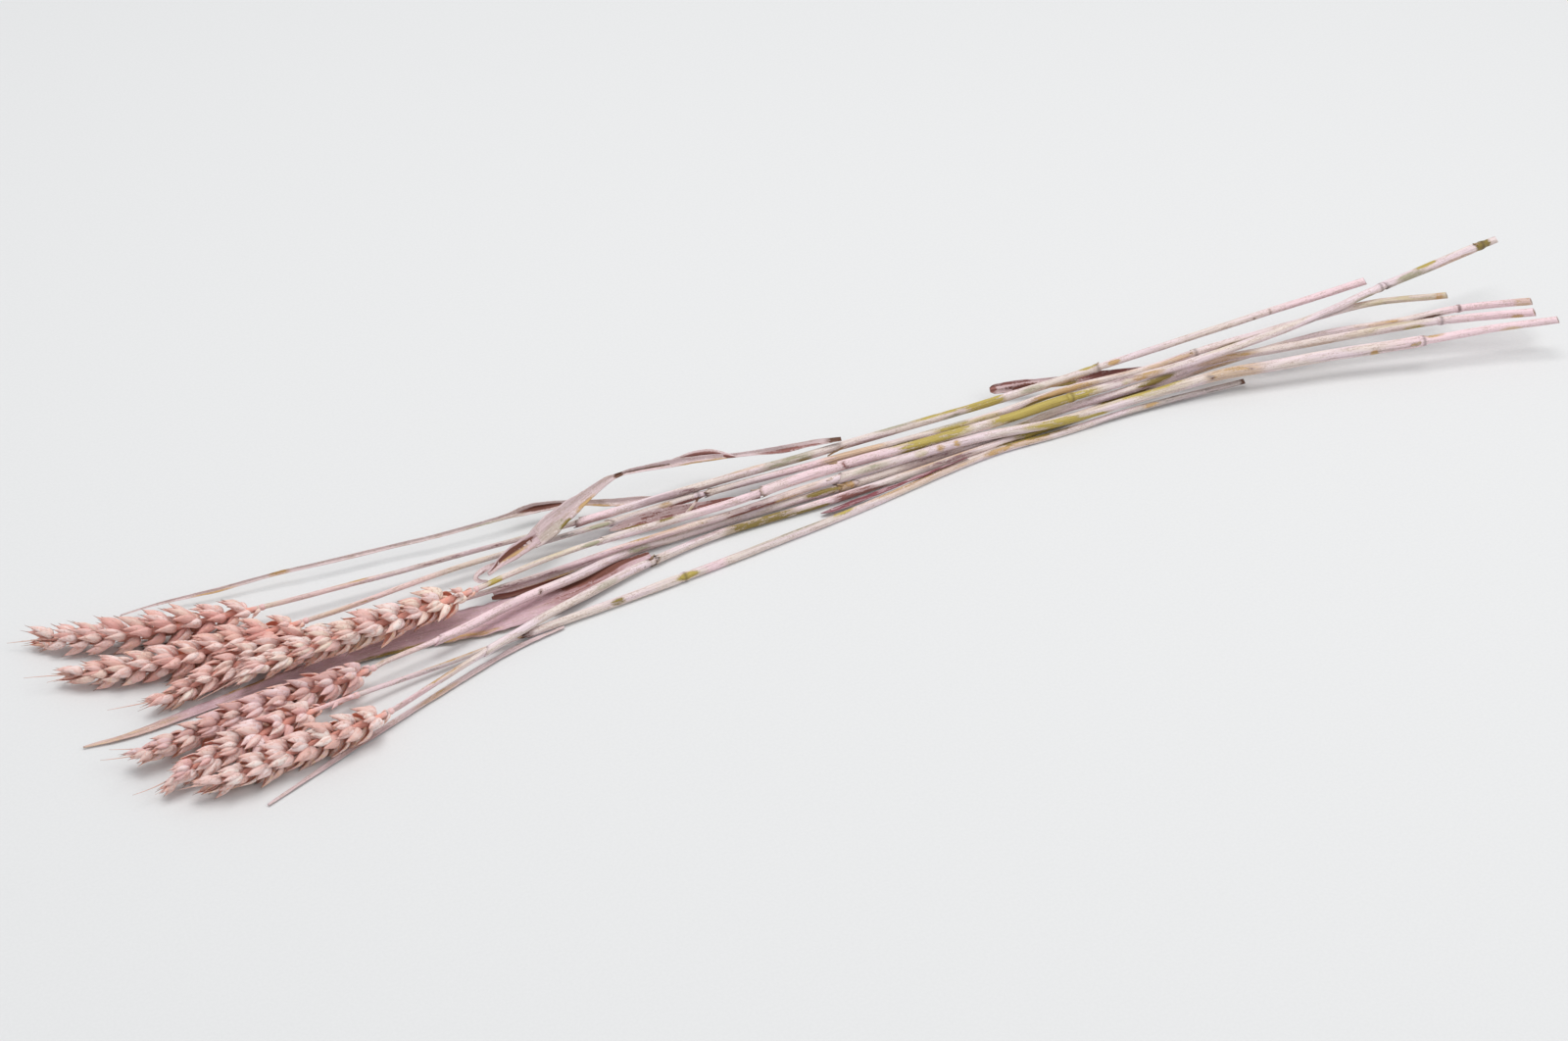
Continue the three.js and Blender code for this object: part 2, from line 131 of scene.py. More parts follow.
# Each straw: its route from the cut end to the tip of its ear, its girth as [distance, radius],
# its knots, its sheaths as [from, to, side of the seam in degrees, how ragged the mouth is], and
# its seed. Distances run along the route from the cut end.
STRAWS = [
    dict(name="straw_1", ear="ear_1",
         route=[[262, 49, 24], [188, 52, 16], [110, 50, 11], [53, 47, 10], [-48, 44, 8.5],
                [-126, 41, 7.5], [-187, 40, 7], [-247, 39, 7.5], [-287, 42, 7], [-329, 56, 6]],
         girth=[[0, 1.8], [132, 1.45], [136, 1.7], [374, 1.6], [378, 1.05], [520, 0.95]],
         knots=[134], sheaths=[[136, 376, 300, .8]], seed=11),
    dict(name="straw_2", ear="ear_2",
         route=[[293, 30, 20], [260, 39, 19], [228, 41, 17], [184, 44, 13], [146, 45, 9],
                [108, 46, 8], [58, 42, 7], [-49, 42, 5.5], [-93, 39, 5.5], [-164, 34, 6.5],
                [-218, 26.6, 6.6], [-280, 22.4, 6.7], [-323, 30, 6]],
         girth=[[0, 1.5], [120, 1.6], [354, 1.4], [358, 1.65], [394, 1.55], [398, 1.15],
                [540, 0.95]],
         knots=[121, 356], sheaths=[[123, 352, 20, 1], [358, 396, 60, .1]], seed=23),
    dict(name="straw_3", ear="ear_3",
         route=[[330, -2, 17], [300, 6, 15], [270, 12, 13], [233, 20, 11], [202, 25, 10],
                [175, 29, 9], [138, 31, 6], [99, 29, 6], [63, 32, 6], [-1, 30, 5.5],
                [-56, 24, 6], [-99, 21, 6.5], [-128, 18, 6], [-173, 15, 6], [-219, 15.5, 6.4],
                [-257, 11.6, 6.3], [-295, 1, 5]],
         girth=[[0, 1.7], [60, 1.8], [64, 2.5], [130, 2.5], [200, 1.95], [336, 1.9],
                [340, 1.65], [400, 1.4], [440, 1.1], [560, 0.95]],
         knots=[62], sheaths=[[64, 337, 330, .3]], seed=37),
    dict(name="straw_4", ear="ear_4",
         route=[[330, 48, 30], [303, 45, 28], [261, 41, 24], [230, 38, 20], [178, 36, 15],
                [142, 39, 10.5], [104, 38, 9.7], [65, 35.2, 8.9], [1, 34.2, 8.2],
                [-27, 31, 9], [-55, 26, 10], [-97, 26, 8.5], [-134, 22, 9], [-174, 11, 11],
                [-220, 4.6, 11.8], [-263, 0.6, 10]],
         girth=[[0, 1.6], [6, 1.7], [12, 2], [100, 1.8], [220, 1.7], [224, 2], [368, 2.05],
                [372, 1.65], [440, 1.45], [444, 1.15], [560, 1]],
         knots=[9, 66, 222],
         sheaths=[[12, 64, 200, .2], [224, 370, 350, .9], [376, 442, 20, .1]], seed=41),
    dict(name="straw_5", ear="ear_5",
         route=[[324, 7, 17], [289, 19, 15], [253, 27, 13], [207, 33, 12], [180, 38, 10],
                [141, 37, 7], [104, 39, 3.5], [64, 33.5, 1.9], [-2, 28, 2], [-56, 25, 2.2],
                [-99, 21, 2.8], [-122, 14, 3.7], [-152, 5.4, 5.7], [-179, -4.2, 7], [-207, -11, 8],
                [-218.7, -13.8, 7.7], [-263.3, -18.2, 6.9], [-308.8, -26.6, 6.7]],
         girth=[[0, 1.8], [180, 1.7], [328, 1.55], [332, 1.6], [430, 1.8], [518, 1.7],
                [522, 1], [560, 0.9]],
         knots=[42, 330], sheaths=[[44, 326, 330, .6], [332, 520, 310, .3]], seed=53),
    dict(name="straw_6", ear="ear_6",
         route=[[190, 28, 3], [137, 29, 2], [98, 27, 1.4], [60, 25, 1.35], [-9, 11, 1.4],
                [-83, -1, 1.8], [-151, -10, 2], [-200, -18, 3.5], [-241, -27.5, 7.8],
                [-271.7, -35.3, 7.6], [-301, -42, 6.4]],
         girth=[[0, 1.2], [80, 1.5], [240, 1.6], [280, 1.8], [344, 1.5], [348, 1.1],
                [460, 0.9]],
         knots=[276], sheaths=[[278, 346, 0, .5]], seed=67),
    dict(name="straw_7", ear="ear_7",
         route=[[328, 15, 17], [297, 25, 15], [270, 29, 13], [234, 37, 10], [183, 41, 5.5],
                [143, 39, 2.6], [101, 33, 2], [62, 29, 1.9], [-4, 22, 2], [-58, 19, 2],
                [-93, 12, 2.5], [-123, 2, 3.5], [-150, -9, 5.2], [-196, -29, 6],
                [-218, -39, 7], [-252, -45, 7], [-289, -52, 7]],
         girth=[[0, 1.7], [200, 1.6], [428, 1.6], [432, 1.75], [508, 1.5], [512, 1.1],
                [580, 0.95]],
         knots=[33, 430], sheaths=[[35, 425, 15, 1], [427, 510, 330, .1]], seed=79),
]

# Each ear: its length, the roll of its two rows of husks in degrees, how much of its foot is bare,
# how widely its husks stand open, how far up they reach full size, how plump they are, how long
# their points are, its bristles from the tip down, and the colours that the paint takes on it.
EARS = {
    "ear_1": dict(length=88, roll=104, bare=0, opened=1.0, slow=6, plump=1.0, points=1.0,
                  awns=(14, 13, 13, 12, 10), coats=("#f4cac4", "#f7dbd6", "#e7aca4", "#efd0c4")),
    "ear_2": dict(length=94, roll=84, bare=0, opened=1.0, slow=7, plump=1.1, points=0.7,
                  awns=(17, 13, 12), coats=("#f4c8c1", "#f8dcd6", "#e7a9a0", "#f1d0c2")),
    "ear_3": dict(length=78, roll=45, bare=0, opened=1.05, slow=4, plump=0.95, points=1.2,
                  awns=(20, 12, 12), coats=("#f6dbd7", "#efc2bb", "#f7e6da", "#e6b3a9")),
    "ear_4": dict(length=99, roll=68, bare=0, opened=1.1, slow=11, plump=1.05, points=1.0,
                  awns=(21, 12), coats=("#f8dad7", "#f9e6de", "#ebbfb8", "#f3dccb")),
    "ear_5": dict(length=96, roll=42, bare=0, opened=1.1, slow=6, plump=1.15, points=0.8,
                  awns=(16, 14, 12, 10), coats=("#e3bfbf", "#e7cac2", "#d2a6a1", "#eed0d1")),
    "ear_6": dict(length=80, roll=50, bare=14, opened=1.35, slow=7, plump=1.15, points=0.7,
                  awns=(14, 12, 11), coats=("#f7dcdd", "#f5ddd7", "#e8b6b3", "#eeccc4")),
    "ear_7": dict(length=76, roll=68, bare=0, opened=1.15, slow=6, plump=1.2, points=0.7,
                  awns=(11, 10), coats=("#f8e0dc", "#f1cfc9", "#e4b7ad", "#f8e6de")),
}

# Colours of the bare straw where the paint missed.
SKINS = {"olive": "#bfab58", "moss": "#8e7a3a", "tan": "#cda876", "peach": "#dec0a5",
         "cream": "#dacbad", "sage": "#b5b096", "umber": "#6a4634", "slate": "#9f9693",
         "bark": "#7b4a3d", "rust": "#96625a", "wine": "#8a4a52", "mauve": "#977478"}

# Which side of a straw a patch is on, as its middle and half width in degrees round it:
# top, middle and bottom as the camera sees them, or the whole way round.
SIDES = {"top": (100, 42), "mid": (40, 50), "low": (-18, 42), "all": (0, 400)}

# Where the paint missed, and where mauve at about half amount only darkens it, mostly on the
# low and middle sides: [distance, half length, side, amount, colour].
PATCHES = {
    "straw_1": [
        [36, .7, "low", .6, "umber"], [48, .7, "mid", .6, "umber"], [56, .6, "low", .7, "umber"],
        [126, 3, "mid", 1, "tan"], [138, 5, "top", .9, "olive"], [150, 12, "low", .6, "tan"],
        [167, 6, "mid", .6, "sage"], [190, 9, "all", .9, "olive"], [212, 20, "top", .85, "olive"],
        [205, 6, "low", .7, "sage"], [231, 12, "top", .7, "sage"], [245, 14, "low", .55, "mauve"],
        [283, 12, "all", .7, "sage"], [277, 5, "low", .85, "moss"], [300, 9, "top", .6, "peach"],
        [325, 24, "low", .55, "mauve"], [338, 14, "mid", .55, "mauve"],
        [372, 10, "low", .6, "rust"], [402, 8, "top", .4, "sage"], [425, 24, "mid", .55, "mauve"],
        [470, 9, "top", .7, "tan"]],
    "straw_2": [
        [4, 4, "all", .85, "tan"], [16, 26, "all", .72, "cream"], [20, 4, "mid", .9, "tan"],
        [29, 3, "low", .8, "sage"], [38, 6, "top", .7, "peach"], [60, 14, "mid", .5, "slate"],
        [104, 9, "low", .6, "moss"], [134, 13, "mid", .85, "peach"], [156, 9, "top", .6, "peach"],
        [185, 17, "mid", .95, "tan"], [196, 12, "low", .95, "moss"], [225, 8, "mid", .6, "olive"],
        [240, 9, "mid", .8, "olive"], [243, 12, "top", .6, "sage"], [286, 14, "all", .95, "peach"],
        [262, 9, "low", .7, "moss"], [330, 20, "low", .55, "mauve"], [362, 9, "low", .95, "rust"],
        [371, 3, "mid", .7, "tan"], [380, 9, "low", .55, "mauve"], [401, 6, "mid", .9, "sage"],
        [420, 14, "mid", .55, "slate"], [440, 6, "low", .5, "slate"], [510, 16, "mid", .5, "tan"]],
    "straw_3": [
        [22, 5, "low", .95, "peach"], [57, 5, "top", .7, "tan"], [85, 2, "low", .8, "tan"],
        [143, 1.5, "mid", .7, "umber"], [161, 1.5, "mid", .7, "umber"],
        [150, 14, "all", .55, "tan"], [182, 14, "mid", .6, "cream"], [190, 17, "top", 1, "olive"],
        [215, 16, "top", .7, "cream"], [227, 16, "low", 1, "olive"], [238, 13, "mid", .9, "olive"],
        [282, 1.4, "mid", .8, "tan"], [290, 1.8, "mid", .85, "tan"], [299, 3, "mid", .75, "cream"],
        [322, 9, "mid", .5, "sage"], [362, 9, "low", .6, "tan"], [377, 14, "low", .95, "rust"],
        [380, 10, "mid", .55, "mauve"], [420, 14, "top", .7, "tan"],
        [465, 26, "low", .55, "mauve"], [475, 20, "mid", .55, "mauve"]],
    "straw_4": [
        [9, 4, "all", 1, "moss"], [26, 12, "low", .75, "peach"], [41, 6, "top", .95, "olive"],
        [50, 8, "mid", .75, "sage"], [48, 12, "low", .85, "sage"], [62, 5, "low", .55, "slate"],
        [76, 6, "low", .8, "sage"], [100, 9, "low", .55, "slate"], [150, 9, "top", .5, "cream"],
        [186, 9, "mid", .8, "tan"], [197, 9, "top", .55, "mauve"], [195, 3, "mid", .7, "cream"],
        [236, 25, "all", 1.05, "olive"], [252, 5, "low", .9, "moss"],
        [290, 19, "top", .9, "olive"], [288, 16, "mid", .85, "olive"],
        [292, 15, "low", .85, "moss"], [322, 12, "low", .55, "mauve"],
        [331, 1.4, "mid", .7, "rust"], [413, 4, "top", .9, "moss"], [446, 4, "mid", .9, "sage"],
        [458, 9, "mid", .6, "cream"], [466, 16, "top", .6, "cream"], [490, 3, "all", .9, "olive"]],
    "straw_5": [
        [8, 3, "low", .85, "tan"], [55, 5, "low", .95, "olive"], [66, 16, "top", .7, "cream"],
        [80, 9, "mid", .5, "cream"], [100, 9, "low", .5, "peach"], [143, 15, "mid", .65, "tan"],
        [178, 9, "mid", 1, "moss"], [192, 16, "low", .55, "mauve"], [243, 3.5, "mid", .8, "olive"],
        [285, 18, "low", .55, "mauve"], [290, 14, "mid", .55, "mauve"],
        [330, 4, "all", .95, "tan"], [340, 9, "mid", .95, "moss"], [345, 14, "low", .55, "mauve"],
        [378, 7, "top", .6, "cream"], [424, 5, "mid", .8, "sage"], [420, 9, "low", .55, "mauve"],
        [472, 1, "mid", .7, "umber"]],
    "straw_6": [
        [1, 2, "all", 1, "umber"], [20, 34, "all", .55, "slate"], [62, 16, "low", .55, "slate"],
        [46, 5, "mid", .8, "tan"], [105, 20, "top", .9, "moss"], [108, 12, "mid", .6, "tan"],
        [122, 8, "mid", .8, "tan"], [154, 28, "mid", .6, "peach"], [165, 26, "top", .6, "tan"],
        [201, 6, "top", .9, "olive"], [228, 24, "top", .5, "sage"], [275, 5, "mid", .95, "olive"],
        [306, 3, "mid", .9, "moss"], [346, 3, "all", .7, "umber"], [377, 14, "top", .7, "tan"],
        [385, 20, "mid", .5, "slate"]],
    "straw_7": [
        [4, 4, "all", .7, "peach"], [33, 1, "mid", .5, "umber"], [50, 9, "low", .95, "umber"],
        [68, 9, "mid", .6, "tan"], [97, 6, "low", .5, "sage"], [150, 12, "all", .6, "tan"],
        [197, 15, "all", 1, "moss"], [204, 6, "mid", .9, "umber"], [241, 12, "all", .95, "olive"],
        [254, 12, "low", .7, "moss"], [287, 16, "mid", .55, "mauve"],
        [290, 22, "top", .6, "peach"], [330, 14, "low", .95, "rust"],
        [332, 10, "mid", .85, "rust"], [352, 10, "low", .95, "moss"],
        [375, 16, "all", .84, "moss"], [426, 2, "top", .8, "umber"], [449, 6, "mid", .6, "sage"],
        [400, 9, "top", .5, "mauve"], [530, 9, "top", .7, "tan"], [550, 14, "mid", .5, "rust"]],
}

# Where the paint lies thick and clear pink: [distance, half length].
ROSY = {
    "straw_1": [[8, 40], [368, 9], [480, 20]],
    "straw_2": [[305, 18], [490, 20]],
    "straw_3": [[30, 50], [440, 30], [530, 20]],
    "straw_4": [[335, 32], [383, 20]],
    "straw_5": [[10, 30], [500, 40]],
    "straw_6": [[262, 5], [400, 14]],
    "straw_7": [[16, 26], [340, 12], [545, 12]],
}

# Torn bits of sheath that stand off a straw:
# [distance, degrees round it, length, half width, lift, how bare and dark].
SCRAPS = {
    "straw_1": [[136, 150, -4, .8, 1.0, .7], [256, -30, 9, 1.1, 1.5, 1]],
    "straw_2": [[122, 60, 2, .6, .5, .7], [121, 120, 2, .6, .4, .6]],
    "straw_3": [[63, 10, 6, 1.1, 1.2, .5], [338, 60, 5, .8, .5, .3]],
    "straw_4": [[332, 100, 6, .8, 1.1, .9], [10, 90, 4, 1.0, 1.2, .9], [370, 120, 5, .8, .9, .8]],
    "straw_5": [[328, 20, 5, 1.2, 1.6, .6], [329, 80, 5, 1.0, 1.5, .7],
                [330, -40, 5, 1.0, 1.4, .9], [331, 140, 4, .9, 1.3, .5]],
    "straw_6": [[346, 60, 6, .7, .8, .5], [345, 150, 4, .6, .8, .6]],
    "straw_7": [[32, 90, 2, .7, .6, .6], [426, 118, -2.4, .35, .9, .9]],
}

# Each leaf is one or more blades. A blade has how far its edges curl up, how bare its two faces
# are, how rosy its paint is, its roll in degrees, once or for each point of its spine, its spine
# as [x, y, z, half width, how far the midrib is sunk], and its patches as [distance, half length,
# place across from -1 to 1, half width there, amount, colour].
LEAVES = [
    dict(name="leaf_long", slot="leaf", blades=[
        dict(curl=0.4, bare=(0.12, 0.8), rosy=0.1, roll=TILTED,
             spine=[[-76, 43.9, 7.5, 0.7, 0.1], [-84, 45.7, 7.5, 1.3, 0.3],
                    [-92, 46.6, 8, 1.7, 0.5], [-99, 49.6, 7.6, 1.5, 0.5],
                    [-106, 53.2, 7.2, 1.3, 0.4], [-114, 56.3, 7, 1.3, 0.4],
                    [-120, 57.1, 7, 1.9, 1], [-126, 57.9, 7, 2.1, 1.3], [-132, 57.7, 7, 1.7, 1.1],
                    [-139, 57.0, 7, 1.1, 0.6], [-149, 56.5, 7, 0.9, 0.4],
                    [-168, 56.5, 6.5, 0.9, 0.4], [-186, 57.6, 6, 0.9, 0.4],
                    [-210, 58.0, 6, 0.9, 0.4], [-225, 58.6, 6, 0.8, 0.3],
                    [-232, 59.3, 5.6, 0.8, 0.3], [-245, 59.6, 5, 0.8, 0.3],
                    [-256, 59.7, 4.5, 1.0, 0.3], [-264, 60.4, 4.2, 0.8, 0.3],
                    [-280, 61.6, 3.5, 0.5, 0.2], [-294, 61.7, 2.5, 0.3, 0]],
             patches=[[49, 10, .1, .5, 1, "bark"], [30, 12, .7, .4, .6, "tan"],
                      [70, 14, .6, .5, .6, "sage"], [158, 4, 0, 1.5, .8, "tan"],
                      [184, 9, .5, .4, .9, "tan"], [12, 8, .8, .3, .7, "tan"]])]),
    dict(name="leaf_twisted", slot="leaf", blades=[
        dict(curl=0.3, bare=(0.1, 0.9), rosy=0.3, roll=[-20, -30] + [TILTED] * 12 + [-50] * 3,
             spine=[[5, 45.1, 13, 1, 0.2], [-7, 47.1, 13, 1.4, 0.3], [-20, 47.4, 13.5, 1.6, 0.4],
                    [-32, 49.0, 14, 1.1, 0.3], [-43, 50.5, 14.5, 1, 0.3],
                    [-53, 52.2, 15, 1.4, 0.5], [-65, 53.5, 15.5, 1.6, 0.7],
                    [-77, 54.1, 16, 1.4, 0.9], [-85, 54.7, 16, 1.1, 0.8],
                    [-90, 54.3, 16, 0.9, 0.4], [-96, 52.6, 16, 1.5, 0.2],
                    [-104, 48.1, 16, 2.2, 0.3], [-111, 44.2, 15.6, 2.9, 0.4],
                    [-119, 39.9, 15, 4, 0.5], [-127, 34.9, 14.4, 4.4, 0.5],
                    [-135, 30.2, 13.6, 3.4, 0.3], [-138, 29.0, 13.0, 2.2, 0]],
             patches=[[0, 6, 0, 2, 1, "umber"], [22, 14, .5, .6, .9, "rust"],
                      # the umber strip at 84 darkens the gap between the rolled edges: painted
                      # shade
                      [58, 12, .8, .3, .9, "tan"], [84, 12, .1, .22, .95, "umber"],
                      [96, 2, 0, 1.5, .9, "umber"], [117, 6, .8, .35, .95, "tan"],
                      # the sage patch at 138 is painted shade, grey where the blade lies in shadow
                      [131, 4, .9, .3, 1.0, "moss"], [138, 8, .5, .6, .5, "sage"],
                      [148, .5, 0, 2, .8, "bark"]]),
        dict(curl=0.0, bare=(0.1, 0.1), rosy=0.4, roll=TILTED,
             spine=[[-41, 48.9, 14.6, 0.4, -0.2], [-45, 51.5, 14.8, 1.2, -0.5],
                    [-50, 55.1, 15, 1.6, -0.8], [-57, 56.3, 15.3, 1.3, -0.5],
                    [-62, 56.0, 15.5, 0.8, -0.2], [-67, 55.3, 15.8, 0.4, 0]],
             patches=[[12, 15, .3, .75, 1.1, "rust"]]),
        dict(curl=0.0, bare=(0.1, 0.1), rosy=0.6, roll=TILTED,
             spine=[[-133, 30.9, 14, 3, 0.3], [-139, 28.2, 13.8, 3, 1.2],
                    [-145, 25.5, 13.6, 2.7, 1.4], [-151, 22.3, 13.4, 2, 1],
                    [-155, 19.3, 13.2, 1.2, 0.4], [-158, 17.5, 13, 0.8, 0.1]],
             patches=[[14, 13, -.3, .42, 1.1, "bark"], [12, 8, .25, .2, .8, "tan"]]),
        dict(curl=0.4, bare=(0.1, 0.7), rosy=0.3, roll=[TILTED, -30, 0, 40, 60, 60],
             spine=[[-152, 22.3, 13.4, 0.6, 0], [-157, 21.2, 13.2, 1.1, 0.2],
                    [-161, 19.3, 13, 1.4, 0.4], [-163, 17.5, 12.6, 1.2, 0.4],
                    [-162, 15.5, 12.2, 0.8, 0.2], [-159, 14.9, 12, 0.3, 0]],
             patches=[[9, 3, .5, .5, .8, "bark"]])]),
    dict(name="leaf_broad", slot="leaf", blades=[
        dict(curl=0.1, bare=(0.08, 0.4), rosy=1.0, roll=0,
             spine=[[-91, 17, 2, 2.0, 0], [-102, 15.5, 1.6, 3.2, 0], [-119, 9.8, 1.1, 6.6, 0.1],
                    [-141, 6.8, 1.1, 8.8, 0.2], [-162, 5, 1.1, 8.8, 0.2],
                    [-181, 6.4, 1.1, 8.6, 0.2], [-201, 6.6, 1.1, 7.0, 0.3],
                    [-218, 4.8, 1.1, 5.2, 0.3], [-238, 2.7, 1.1, 3.9, 0.5],
                    [-258, 0.6, 1.1, 3.1, 0.6], [-278, -2.4, 1.1, 2.4, 0.6],
                    [-304, -6.2, 1, 1.6, 0.3], [-322, -6, 0.9, 0.4, 0]],
             patches=[[22, 26, -.6, .5, 1.1, "bark"], [30, 22, .2, .5, .55, "rust"],
                      [110, 26, .9, .16, .95, "moss"], [85, 14, .8, .2, .9, "tan"],
                      [228, 34, 0, 1.5, .62, "peach"], [150, 9, -.9, .2, .7, "rust"],
                      [168, 12, -.9, .2, .8, "tan"]])]),
    dict(name="leaf_folded", slot="leaf", blades=[
        dict(curl=0.2, bare=(0.1, 0.9), rosy=0.5, roll=TILTED,
             spine=[[-104, 21.5, 3.8, 0.4, 0], [-117, 19.3, 3.8, 0.8, 0], [-129, 17.5, 3.8, 1, 0],
                    [-140, 16.3, 3.8, 1.1, 0], [-150, 15.8, 3.8, 1.1, 0], [-155, 16.1, 3.8, 1, 0],
                    [-157, 16.1, 3.6, 0.7, 0]],
             patches=[[58, 3, 0, 1, .8, "rust"], [30, 14, .8, .4, .8, "tan"]]),
        dict(curl=0.3, bare=(1.0, 1.0), rosy=0.5, roll=TILTED,
             spine=[[-107, 19.9, 3, 0.3, 0.2], [-117, 17.8, 2.9, 0.6, 0.4],
                    [-130, 15.8, 2.8, 0.8, 0.5], [-141, 14.8, 2.7, 1.0, 0.5],
                    [-150, 14.4, 2.6, 1.1, 0.5], [-156, 15.0, 2.6, 1.0, 0.3],
                    [-158, 15.1, 2.6, 0.6, 0]],
             patches=[[28, 40, 0, 1.5, 1.2, "bark"], [56, 6, .7, .5, 1, "rust"]])]),
    dict(name="leaf_between", slot="bare_leaf", blades=[
        dict(curl=0.2, bare=(0.35, 0.7), rosy=0.4, roll=TILTED,
             spine=[[-38, 29.5, 6.4, 0.5, 0], [-48, 31.8, 6.2, 1.4, 0.1],
                    [-59, 33.0, 6.2, 1.9, 0.2], [-69, 33.8, 6.2, 2.4, 0.3],
                    [-77, 34.1, 6, 2.9, 0.3], [-86, 34.5, 5.8, 2.8, 0.3], [-94, 34.5, 5.6, 2, 0.2],
                    [-102, 34.4, 5.2, 0.5, 0]],
             patches=[[12, 14, 0, 1.2, .75, "rust"], [40, 20, .6, .6, .6, "rust"],
                      [44, 18, .7, .3, .95, "moss"], [30, 12, -.7, .3, .4, "rust"]]),
        dict(curl=0.0, bare=(0.3, 0.3), rosy=0.3, roll=TILTED,
             spine=[[-62, 37.4, 8, 0.5, 0], [-65, 34.3, 7.8, 0.6, 0], [-70, 30.3, 7.6, 0.5, 0],
                    [-72, 29.0, 7.6, 0.2, 0]],
             patches=[[1, 2, 0, 1.5, .9, "umber"], [8, 4, 0, 1.5, .5, "cream"]])]),
    dict(name="leaf_red", slot="bare_leaf", blades=[
        dict(curl=0.2, bare=(0.5, 0.9), rosy=0.8, roll=[30, 20, 10, 10, 10],
             spine=[[54, 24.2, 3.7, 0.7, 0], [32, 20.9, 3.2, 1.3, 0.2], [9, 17.6, 2.6, 1.6, 0.2],
                    [-11, 15.6, 1.6, 1.5, 0.2], [-17, 15.4, 1.6, 0.6, 0]],
             patches=[[26, 26, .6, .5, .95, "wine"], [40, 30, -.4, .5, .5, "wine"]])]),
    dict(name="leaf_stub", slot="bare_leaf", blades=[
        dict(curl=0.8, bare=(0.2, 0.6), rosy=0.5, roll=TILTED,
             spine=[[150, 47.2, 8.2, 0.9, 0.2], [130, 52, 6.6, 2.0, 0.2], [115, 55, 6, 2.1, -0.5],
                    [98, 59, 6, 2.4, -1.2], [86, 61.6, 5.6, 2.1, -1.0],
                    [83, 62.2, 5.4, 1.1, -0.4]],
             patches=[[50, 13, .2, .5, .8, "bark"], [60, 10, -.7, .3, .75, "rust"],
                      [69, 3, 0, 1.5, .85, "rust"], [36, 8, .2, .8, .8, "moss"],
                      [14, 18, 0, 1.5, .7, "rust"]])]),
    dict(name="leaf_thin", slot="leaf", blades=[
        dict(curl=0.3, bare=(0.15, 0.3), rosy=0.3, roll=0,
             spine=[[-137, -10.5, 1, 0.6, 0], [-161, -16, 0.8, 1.2, 0.1],
                    [-196, -30, 0.8, 1.3, 0.1], [-237, -48, 0.8, 1.2, 0.1],
                    [-267, -62, 0.7, 0.5, 0]],
             patches=[[60, 12, 0, 1, .5, "tan"]])]),
]


# ---- lines in space ----
UP = np.array([0.0, 0.0, 1.0])
ROUTE_POINTS = 3000         # how finely a route is measured


def smooth_line(knots, t):
    """Points of the smooth line through the knots; t runs from 0 to 1."""
    place = t * (len(knots) - 1)
    i = np.minimum(np.floor(place).astype(int), len(knots) - 2)
    w = (place - i)[:, None]
    padded = np.vstack([2 * knots[0] - knots[1], knots, 2 * knots[-1] - knots[-2]])
    a, b, c, d = (padded[i + k] for k in range(4))
    m, n = 0.5 * (c - a), 0.5 * (d - b)
    return (2 * b - 2 * c + m + n) * w**3 + (-3 * b + 3 * c - 2 * m - n) * w**2 + m * w + b


def unit(v):
    return v / np.linalg.norm(v, axis=-1, keepdims=True)


def distances(line):
    """How far along a line each of its points is."""
    return np.concatenate([[0], np.cumsum(np.linalg.norm(np.diff(line, axis=0), axis=1))])


def axes_along(way):
    """Along the way, level across it, and up from it."""
    along = unit(way)
    across = unit(np.cross(UP, along))
    return along, across, np.cross(along, across)


def around(turn, across, up):
    """The direction straight out from a line, at each turn round it in radians."""
    turn = np.asarray(turn)[..., None]
    return np.cos(turn) * across + np.sin(turn) * up


def turns(sides):
    return np.arange(sides) / sides * TAU


class Route:
    """A smooth line measured by the distance from its start."""

    def __init__(self, knots):
        self.line = smooth_line(np.array(knots, float), np.linspace(0, 1, ROUTE_POINTS))
        self.far = distances(self.line)
        self.length = self.far[-1]

    def at(self, s):
        return np.stack([np.interp(s, self.far, values) for values in self.line.T], -1)

    def axes(self, s):
        return axes_along(self.at(s + 0.5) - self.at(s - 0.5))


def eased(low, high, x):
    """0 below low, 1 above high, and a smooth step between."""
    t = np.clip((x - low) / (high - low), 0, 1)
    return t * t * (3 - 2 * t)


def hump(away, width):
    """1 in the middle, and falling smoothly to nothing beyond its width."""
    return np.exp(-((away / width) ** 2))


def read(table, s):
    """The value at s in a table of [distance, value]."""
    return np.interp(s, *np.transpose(table))


def ripple(s, seed, *waves):
    """Small waves of each [length, height], mixed with two unlike ones so that none repeats."""
    rng = np.random.default_rng(seed)
    total = np.zeros_like(s)
    for length, height in waves:
        for k in (1.0, 0.618, 1.41):
            total = total + height / 2 * np.sin(s * TAU * k / length + rng.uniform(0, TAU))
    return total


# ---- mesh gathering ----
# Marks tell the finishes about each point. All pieces have grain, its place in the patterns.
# Straws and leaves have bare, the skin's colour, rosy and dark, which is also painted shade in
# a straw's hollow. Ears have the coat's colour, reach along a husk, inner on its inside and on
# the core, where it is painted shade, tint of the husk, and faced towards the spray, which also
# paints husks turned away in shade.
VECTOR_MARKS = ("grain", "skin", "coat")
ABOVE_FLOOR = 0.02          # no point lies lower


def spread(name, mark, grid):
    """A mark at every point of a grid, given once, once for each row, or in full."""
    return np.broadcast_to(mark, grid.shape if name in VECTOR_MARKS else grid.shape[:2])


def there_and_back(top, under):
    """One row after another: its points on the top face, then the way back underneath."""
    grid = np.concatenate([top, under[:, ::-1]], 1)
    return grid.reshape((-1,) + grid.shape[2:])


